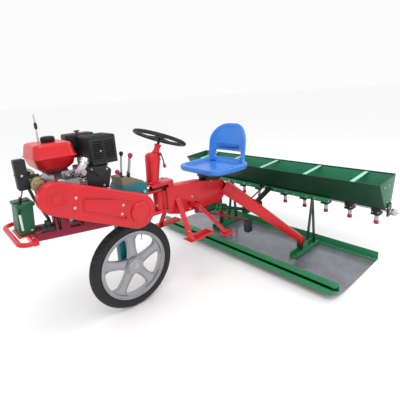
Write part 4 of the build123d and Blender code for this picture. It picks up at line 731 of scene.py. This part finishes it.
# outline of a spoke, as shares of its half width and half thickness
STEER_SPOKE = ((-1, -0.6), (-1, 0.4), (-0.6, 1), (0.6, 1), (1, 0.4), (1, -0.6), (0.6, -1), (-0.6, -1))
bm = bmesh.new()
put_torus(bm, WHEEL_AT, SHAFT_DIR, STEER_R, GRIP_R, steps=216, sides=20, ripple=0.07, waves=54)
to_back = SHAFT_DIR.cross(LEFT)
for k in range(3):
    angle = math.radians(90 + 120 * k)
    outward = math.cos(angle) * LEFT + math.sin(angle) * to_back
    sideways = SHAFT_DIR.cross(outward)
    rows = []
    for i in range(9):
        t = i / 8
        centre = WHEEL_AT + outward * (22 + (STEER_R - 26) * t) - SHAFT_DIR * (6 * math.sin(math.pi * t) - 2)
        half = 17 - 6 * math.sin(math.pi * t)
        rows.append([bm.verts.new(centre + sideways * half * c + SHAFT_DIR * 4.5 * d)
                     for c, d in STEER_SPOKE])
    for row, following in zip(rows, rows[1:]):
        for i in range(len(STEER_SPOKE)):
            j = (i + 1) % len(STEER_SPOKE)
            bm.faces.new((row[i], row[j], following[j], following[i]))
    bm.faces.new(rows[0])
    bm.faces.new(list(reversed(rows[-1])))
put_lathe(bm, WHEEL_AT, SHAFT_DIR, ((22, -17), (29, -14), (30, 8), (27, 15), (20, 18), (8, 19)), 40)
put_rod(bm, WHEEL_AT - SHAFT_DIR * 108, WHEEL_AT - SHAFT_DIR * 14, 9.0)
wheel = make("steering_wheel_grip", bm, "steering_wheel", PLASTIC, smooth=45)
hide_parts("steering_wheel")

# Column: foot flange, seam bead, collars and bolts, and a small hand lever
HOUSING_FOOT, HOUSING_HEAD = Vector((276, 0, 798)), Vector((256, 0, 950))
bm = bmesh.new()
put_lathe(bm, HOUSING_FOOT, UP, ((52, 0), (52, 8), (42, 11)), 48)
put_lathe(bm, HOUSING_HEAD, UP, ((48, -8), (51.5, -5), (51.5, 5), (48, 8)), 56)
put_lathe(bm, COLUMN_AT + 206 * SHAFT_DIR, SHAFT_DIR, ((19, -6), (27, 2), (25, 12), (19, 20)), 40)
put_lathe(bm, COLUMN_AT + 252 * SHAFT_DIR, SHAFT_DIR, ((19, 0), (23, 2), (23, 14), (20, 16)), 40)
put_box(bm, (216, 24, 974), (234, 50, 994))
make("column_rings", bm, "tow_frame", RED, bevel=1.0)

NECK_BOLTS = ((272, 640), (-12, 632), (-6, 570), (14, 548))
bm = bmesh.new()
for k in range(4):
    angle = math.radians(45 + 90 * k)
    put_bolt(bm, HOUSING_FOOT + 8 * UP + 46 * Vector((math.cos(angle), math.sin(angle), 0)), UP, 3.6)
bolts_on(bm, "column_base", [(x, y, 900) for x in (164, 334) for y in (-48, 48)], -UP, 5.0)
bolts_on(bm, "gooseneck", [(x, 200, z) for x, z in NECK_BOLTS], -LEFT, 4.5)
bolts_on(bm, "gooseneck", [(x, -200, z) for x, z in ((150, 720), (150, 640))], LEFT, 4.5)
bolts_on(bm, "seat_bracket", [(x, 44 * side, 700) for x in (-300, -200) for side in (-1, 1)], UP, 6.0)
bolts_on(bm, "footrests", [(136, side * y, 700) for y in (166, 204) for side in (-1, 1)], -UP, 5.0)
make("frame_bolts", bm, "tow_frame", STEEL, bevel=0.4)

bm = bmesh.new()
put_pipe(bm, curve_points([(232, 46, 984), (226, 56, 984), (216, 58, 955), (208, 56, 918)]), 4.0, 10)
make("column_lever", bm, "tow_frame", DARK_STEEL)
bm = bmesh.new()
put_lathe(bm, (208, 56, 920), (-0.1, 0, -0.99), ((4, -4), (7, 0), (10, 8), (11, 16), (9, 25), (4, 29)), 24)
make("column_lever_knob", bm, "tow_frame", RED_PLASTIC, smooth=60)

# Welds where the arms and the web meet the neck
bm = bmesh.new()
for side in (-1, 1):
    put_pipe(bm, curve_points([(-300, side * 46, 700), (-330, side * 58, 672), (-352, side * 66, 634),
                               (-372, side * 60, 590)]), 4.0, 8)
    put_pipe(bm, [Vector((119 + 20 * c, side * 45, 668)) for c in (-1, -0.5, 0, 0.5, 1)], 3.5, 8)
    put_pipe(bm, [Vector((200, side * 28, 610 + 120 * c)) for c in (0, 0.25, 0.5, 0.75, 1)], 3.5, 8)
make("frame_welds", bm, "tow_frame", RED, smooth=60)

# Seat: moulded bead round the front of the back
BACK_LEAN = math.radians(9.5)
BACK_AT = Vector((-456, 0, 800))
BACK_UP = Vector((-math.sin(BACK_LEAN), 0, math.cos(BACK_LEAN)))
BACK_AHEAD = Vector((math.cos(BACK_LEAN), 0, math.sin(BACK_LEAN)))
BEAD_HALF, BEAD_FOOT, BEAD_TOP, BEAD_TURN_R = 166.0, 108.0, 286.0, 138.0
TURN_Y, TURN_H = BEAD_HALF - BEAD_TURN_R, BEAD_TOP - BEAD_TURN_R
bead = [(BEAD_HALF, BEAD_FOOT), (BEAD_HALF, (BEAD_FOOT + TURN_H) / 2)]
for k in range(13):
    angle = math.radians(7.5 * k)
    bead.append((TURN_Y + BEAD_TURN_R * math.cos(angle), TURN_H + BEAD_TURN_R * math.sin(angle)))
bead = bead + [(-y, h) for y, h in reversed(bead)]
line = [on_surface("seat", BACK_AT + y * LEFT + h * BACK_UP + 300 * BACK_AHEAD, -BACK_AHEAD) for y, h in bead]
bm = bmesh.new()
put_pipe(bm, [spot for spot in line if spot is not None], 2.6, 10)
make("seat_bead", bm, "tow_frame", BLUE, smooth=60)

# Step treads
bm = bmesh.new()
for side in (-1, 1):
    for k in range(9):
        x = -24 + 14 * k
        put_box(bm, (x, side * 185 - 34, 403.5), (x + 5, side * 185 + 34, 406))
make("step_treads", bm, "tow_frame", RED, bevel=0.8)

# Universal joint: two yokes and the cross between them
JOINT_AT = Vector((-284, 0, 466))
JOINT_DIR = Vector((-390, 0, -147)).normalized()
CROSS_HALF, CROSS_DIR = 38, Vector((0.353, 0, -0.936))
bm = bmesh.new()
for centre in ((-262, 0, 475), (-306, 0, 458)):
    put_torus(bm, centre, JOINT_DIR, 27, 7, steps=40, sides=10)
for way in (LEFT, CROSS_DIR):
    put_rod(bm, JOINT_AT - CROSS_HALF * way, JOINT_AT + CROSS_HALF * way, 9)
make("shaft_yokes", bm, "tow_frame", RAIL_GREEN, bevel=1.0)

# Sled: bolts along the rails
SLED_BOLTS = [y * 0.98 for y in (-920, -700, -480, -240, 0, 240, 480, 700, 920)]
bm = bmesh.new()
bolts_on(bm, "sled_front_rail", [(-424, y, 300) for y in SLED_BOLTS], -UP, 4.5)
bolts_on(bm, "sled_rear_rail", [(-1062, y, 300) for y in SLED_BOLTS], -UP, 5.0)
bolts_on(bm, "sled_channels", [(x, side * 460, 20) for x in (-1010, -900, -700) for side in (-1, 1)],
         -UP, 5.0)
make("sled_bolts", bm, "sled", ZINC, bevel=0.4)

# Hopper: rolled lips, bolts, strap rivets and meter clamps
HOPPER_HALF, HOPPER_END = 1026, 1024
LIP_FRONT, LIP_REAR, LIP_R = Vector((-831, 0, 674)), Vector((-1122, 0, 696)), 4.5
bm = bmesh.new()
for lip in (LIP_FRONT, LIP_REAR):
    put_pipe(bm, [lip + y * LEFT for y in (-HOPPER_END, -500, 0, 500, HOPPER_END)], LIP_R, 12)
for side in (-1, 1):
    put_pipe(bm, [LIP_FRONT.lerp(LIP_REAR, t) + side * 1022 * LEFT for t in (0, 0.5, 1)], LIP_R, 12)
for y in (-1000, 1000):
    put_box(bm, (-1061, y - 14, 470), (-961, y + 14, 474))
make("hopper_lips", bm, "sled", GREEN)

ROW_PITCH, FIRST_ROW = 200, 150
ROWS = [side * (FIRST_ROW + ROW_PITCH * k) for side in (-1, 1) for k in range(5)]
# The beam is shorter than the hopper, so the outer rows lie beyond it
BEAM_ROWS = [y for y in ROWS if abs(y) < 700]
SEED_SHAFT_X = -1022
END_BOLTS = ((-1072, 640), (-1000, 640), (-920, 640), (-1040, 520), (-985, 520))
bm = bmesh.new()
bolts_on(bm, "hopper_beam", [(-800, y + d, 452) for y in BEAM_ROWS for d in (-60, 60)], -AHEAD, 5.0)
bolts_on(bm, "seed_meters", [(-900, y + d, 424) for y in ROWS for d in (-20, 20)], -AHEAD, 4.0)
bolts_on(bm, "seed_meters", [(-1200, y + d, 424) for y in ROWS for d in (-20, 20)], AHEAD, 4.0)
for side in (-1, 1):
    bolts_on(bm, "hopper_ends", [(x, side * 1300, z) for x, z in END_BOLTS], -side * LEFT, 5.0)
for side in (1, -1):
    bolts_on(bm, "shaft_bearings", [(SEED_SHAFT_X + d, side * 1300, 474) for d in (-22, 22)],
             -side * LEFT, 5.0)
bolts_on(bm, "hopper_legs", [(-962, 500, 425)], -LEFT, 5.0)
make("hopper_bolts", bm, "sled", STEEL, bevel=0.4)

STRAPS = [share * HOPPER_HALF for share in (-0.804, -0.429, 0.0, 0.429, 0.804)]
bm = bmesh.new()
for y in STRAPS:
    for t in (0.06, 0.94):
        spot = on_surface("hopper_straps", (-845 - 268 * t, y, 900), -UP)
        if spot is not None:
            put_ball(bm, spot, 6.0, 0.5)
make("strap_rivets", bm, "sled", PALE_GREEN, smooth=60)

bm = bmesh.new()
for y in ROWS:
    put_lathe(bm, (SEED_SHAFT_X, y, 392), UP, ((16, 0), (18.5, 1), (18.5, 9), (16, 10)), 28)
    put_box(bm, (-1061, y - 32, 404), (-983, y + 32, 410))
    put_box(bm, (-988, y - 16, 428), (-982, y + 16, 462))
make("meter_clamps", bm, "sled", PLASTIC, bevel=1.0)

# Seed chain: links round the two sprockets
SPROCKETS = (Vector((-755, -60, 332)), Vector((SEED_SHAFT_X, -60, 442)))
CHAIN_RS = (42.0, 24.0)
reach = SPROCKETS[1] - SPROCKETS[0]
lean = math.atan2(reach.z, reach.x)
open_angle = math.acos((CHAIN_RS[0] - CHAIN_RS[1]) / reach.length)
path = []
for k in range(41):
    a = lean + open_angle + (2 * math.pi - 2 * open_angle) * k / 40
    path.append(SPROCKETS[0] + CHAIN_RS[0] * Vector((math.cos(a), 0, math.sin(a))))
for k in range(21):
    a = lean - open_angle + 2 * open_angle * k / 20
    path.append(SPROCKETS[1] + CHAIN_RS[1] * Vector((math.cos(a), 0, math.sin(a))))
path.append(path[0])
lengths = [0.0]
for a, b in zip(path, path[1:]):
    lengths.append(lengths[-1] + (b - a).length)


def along_chain(distance):
    """Place on the chain's path at a distance from its start."""
    distance = distance % lengths[-1]
    for i, (low, high) in enumerate(zip(lengths, lengths[1:])):
        if low <= distance <= high:
            return path[i].lerp(path[i + 1], (distance - low) / (high - low))
    return path[0]


PITCH_PAIR, LINK_W, LINK_T = 28.0, 9.0, 1.6
OUTER_LINK, INNER_LINK, PIN_HALF, PIN_R = 5.6, 3.4, 6.6, 3.4
LINKS = 2 * round(lengths[-1] / PITCH_PAIR)
bm = bmesh.new()
for k in range(LINKS):
    here = along_chain(lengths[-1] * k / LINKS)
    there = along_chain(lengths[-1] * (k + 1) / LINKS)
    spare = 0.18 * (there - here)
    offset = OUTER_LINK if k % 2 else INNER_LINK
    for side in (-1, 1):
        aside = side * offset * LEFT
        put_bar(bm, here - spare + aside, there + spare + aside, LEFT, LINK_W, LINK_T)
    put_rod(bm, here - PIN_HALF * LEFT, here + PIN_HALF * LEFT, PIN_R, sides=10)
chain = make("chain_links", bm, "sled", CHAIN_STEEL)
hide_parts("seed_chain")

# Reducer: fins, round cap and sprocket teeth
bm = bmesh.new()
for k in range(5):
    x = -797 + 20 * k
    put_box(bm, (x, -48, 296), (x + 5, 54, 304))
    put_box(bm, (x, 49, 298), (x + 5, 54, 366))
put_lathe(bm, (-755, 50, 332), LEFT, ((34, -1), (32, 6), (20, 8), (8, 9)), 36)
put_teeth(bm, SPROCKETS[0], 22, 38.5, (4.5, 6, 6))
make("reducer_fins", bm, "sled", DARK_STEEL, bevel=0.8)

# Floor and light, in metres; the floor lies just under the machine
FLOOR_SIZE, FLOOR_Z = 400.0, -0.0005
FLOOR_GREY, WORLD_STRENGTH = 0.97, 0.97
LAMP_AIM = Vector((0, 0, 0.5))
bpy.ops.mesh.primitive_plane_add(size=FLOOR_SIZE, location=(0, 0, FLOOR_Z))
floor = bpy.context.object
floor.name = "floor"
pale = bpy.data.materials.new("pale_floor")
pale.use_nodes = True
floor_inputs = pale.node_tree.nodes["Principled BSDF"].inputs
floor_inputs["Base Color"].default_value = (FLOOR_GREY, FLOOR_GREY, FLOOR_GREY, 1.0)
floor_inputs["Roughness"].default_value = 0.9
floor.data.materials.append(pale)
floor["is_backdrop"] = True

world = bpy.data.worlds.new("studio")
scene.world = world
world.use_nodes = True
sky_inputs = world.node_tree.nodes["Background"].inputs
sky_inputs["Color"].default_value = (1.0, 1.0, 1.0, 1.0)
sky_inputs["Strength"].default_value = WORLD_STRENGTH

# name, place, power, size
LAMPS = (
    ("key_lamp", (1.4, 2.0, 5.0), 80.0, 2.6),
    ("back_lamp", (-3.6, 1.4, 3.8), 40.0, 2.6),
)
for lamp_name, place, power, size in LAMPS:
    light = bpy.data.lights.new(lamp_name, "AREA")
    light.energy = power
    light.size = size
    lamp = bpy.data.objects.new(lamp_name, light)
    lamp.location = place
    lamp.rotation_euler = (LAMP_AIM - Vector(place)).to_track_quat("-Z", "Y").to_euler()
    scene.collection.objects.link(lamp)

# The photograph's camera, fitted to the wheel, sled and hopper
IMAGE = 400.0
FOCAL_PX = 319.0
CENTRE_PX = (210.6, 174.8)
CAMERA_AT = (1.3578, 1.7762, 1.3423)
YAW, PITCH, ROLL = -2.305, 0.248, -0.065
SENSOR = 36.0

ahead = Vector((math.cos(PITCH) * math.cos(YAW), math.cos(PITCH) * math.sin(YAW), -math.sin(PITCH)))
level = ahead.cross(UP).normalized()
upright = level.cross(ahead)
right = math.cos(ROLL) * level + math.sin(ROLL) * upright
up = -math.sin(ROLL) * level + math.cos(ROLL) * upright
lens = bpy.data.cameras.new("photo_camera")
lens.sensor_width = SENSOR
lens.lens = FOCAL_PX / IMAGE * SENSOR
lens.shift_x = (IMAGE / 2 - CENTRE_PX[0]) / IMAGE
lens.shift_y = (CENTRE_PX[1] - IMAGE / 2) / IMAGE
lens.clip_end = FLOOR_SIZE
camera = bpy.data.objects.new("photo_camera", lens)
camera.matrix_world = Matrix((
    (right.x, up.x, -ahead.x, CAMERA_AT[0]),
    (right.y, up.y, -ahead.y, CAMERA_AT[1]),
    (right.z, up.z, -ahead.z, CAMERA_AT[2]),
    (0, 0, 0, 1),
))
scene.collection.objects.link(camera)
scene.camera = camera
scene.view_settings.view_transform = "Standard"

low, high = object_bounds()
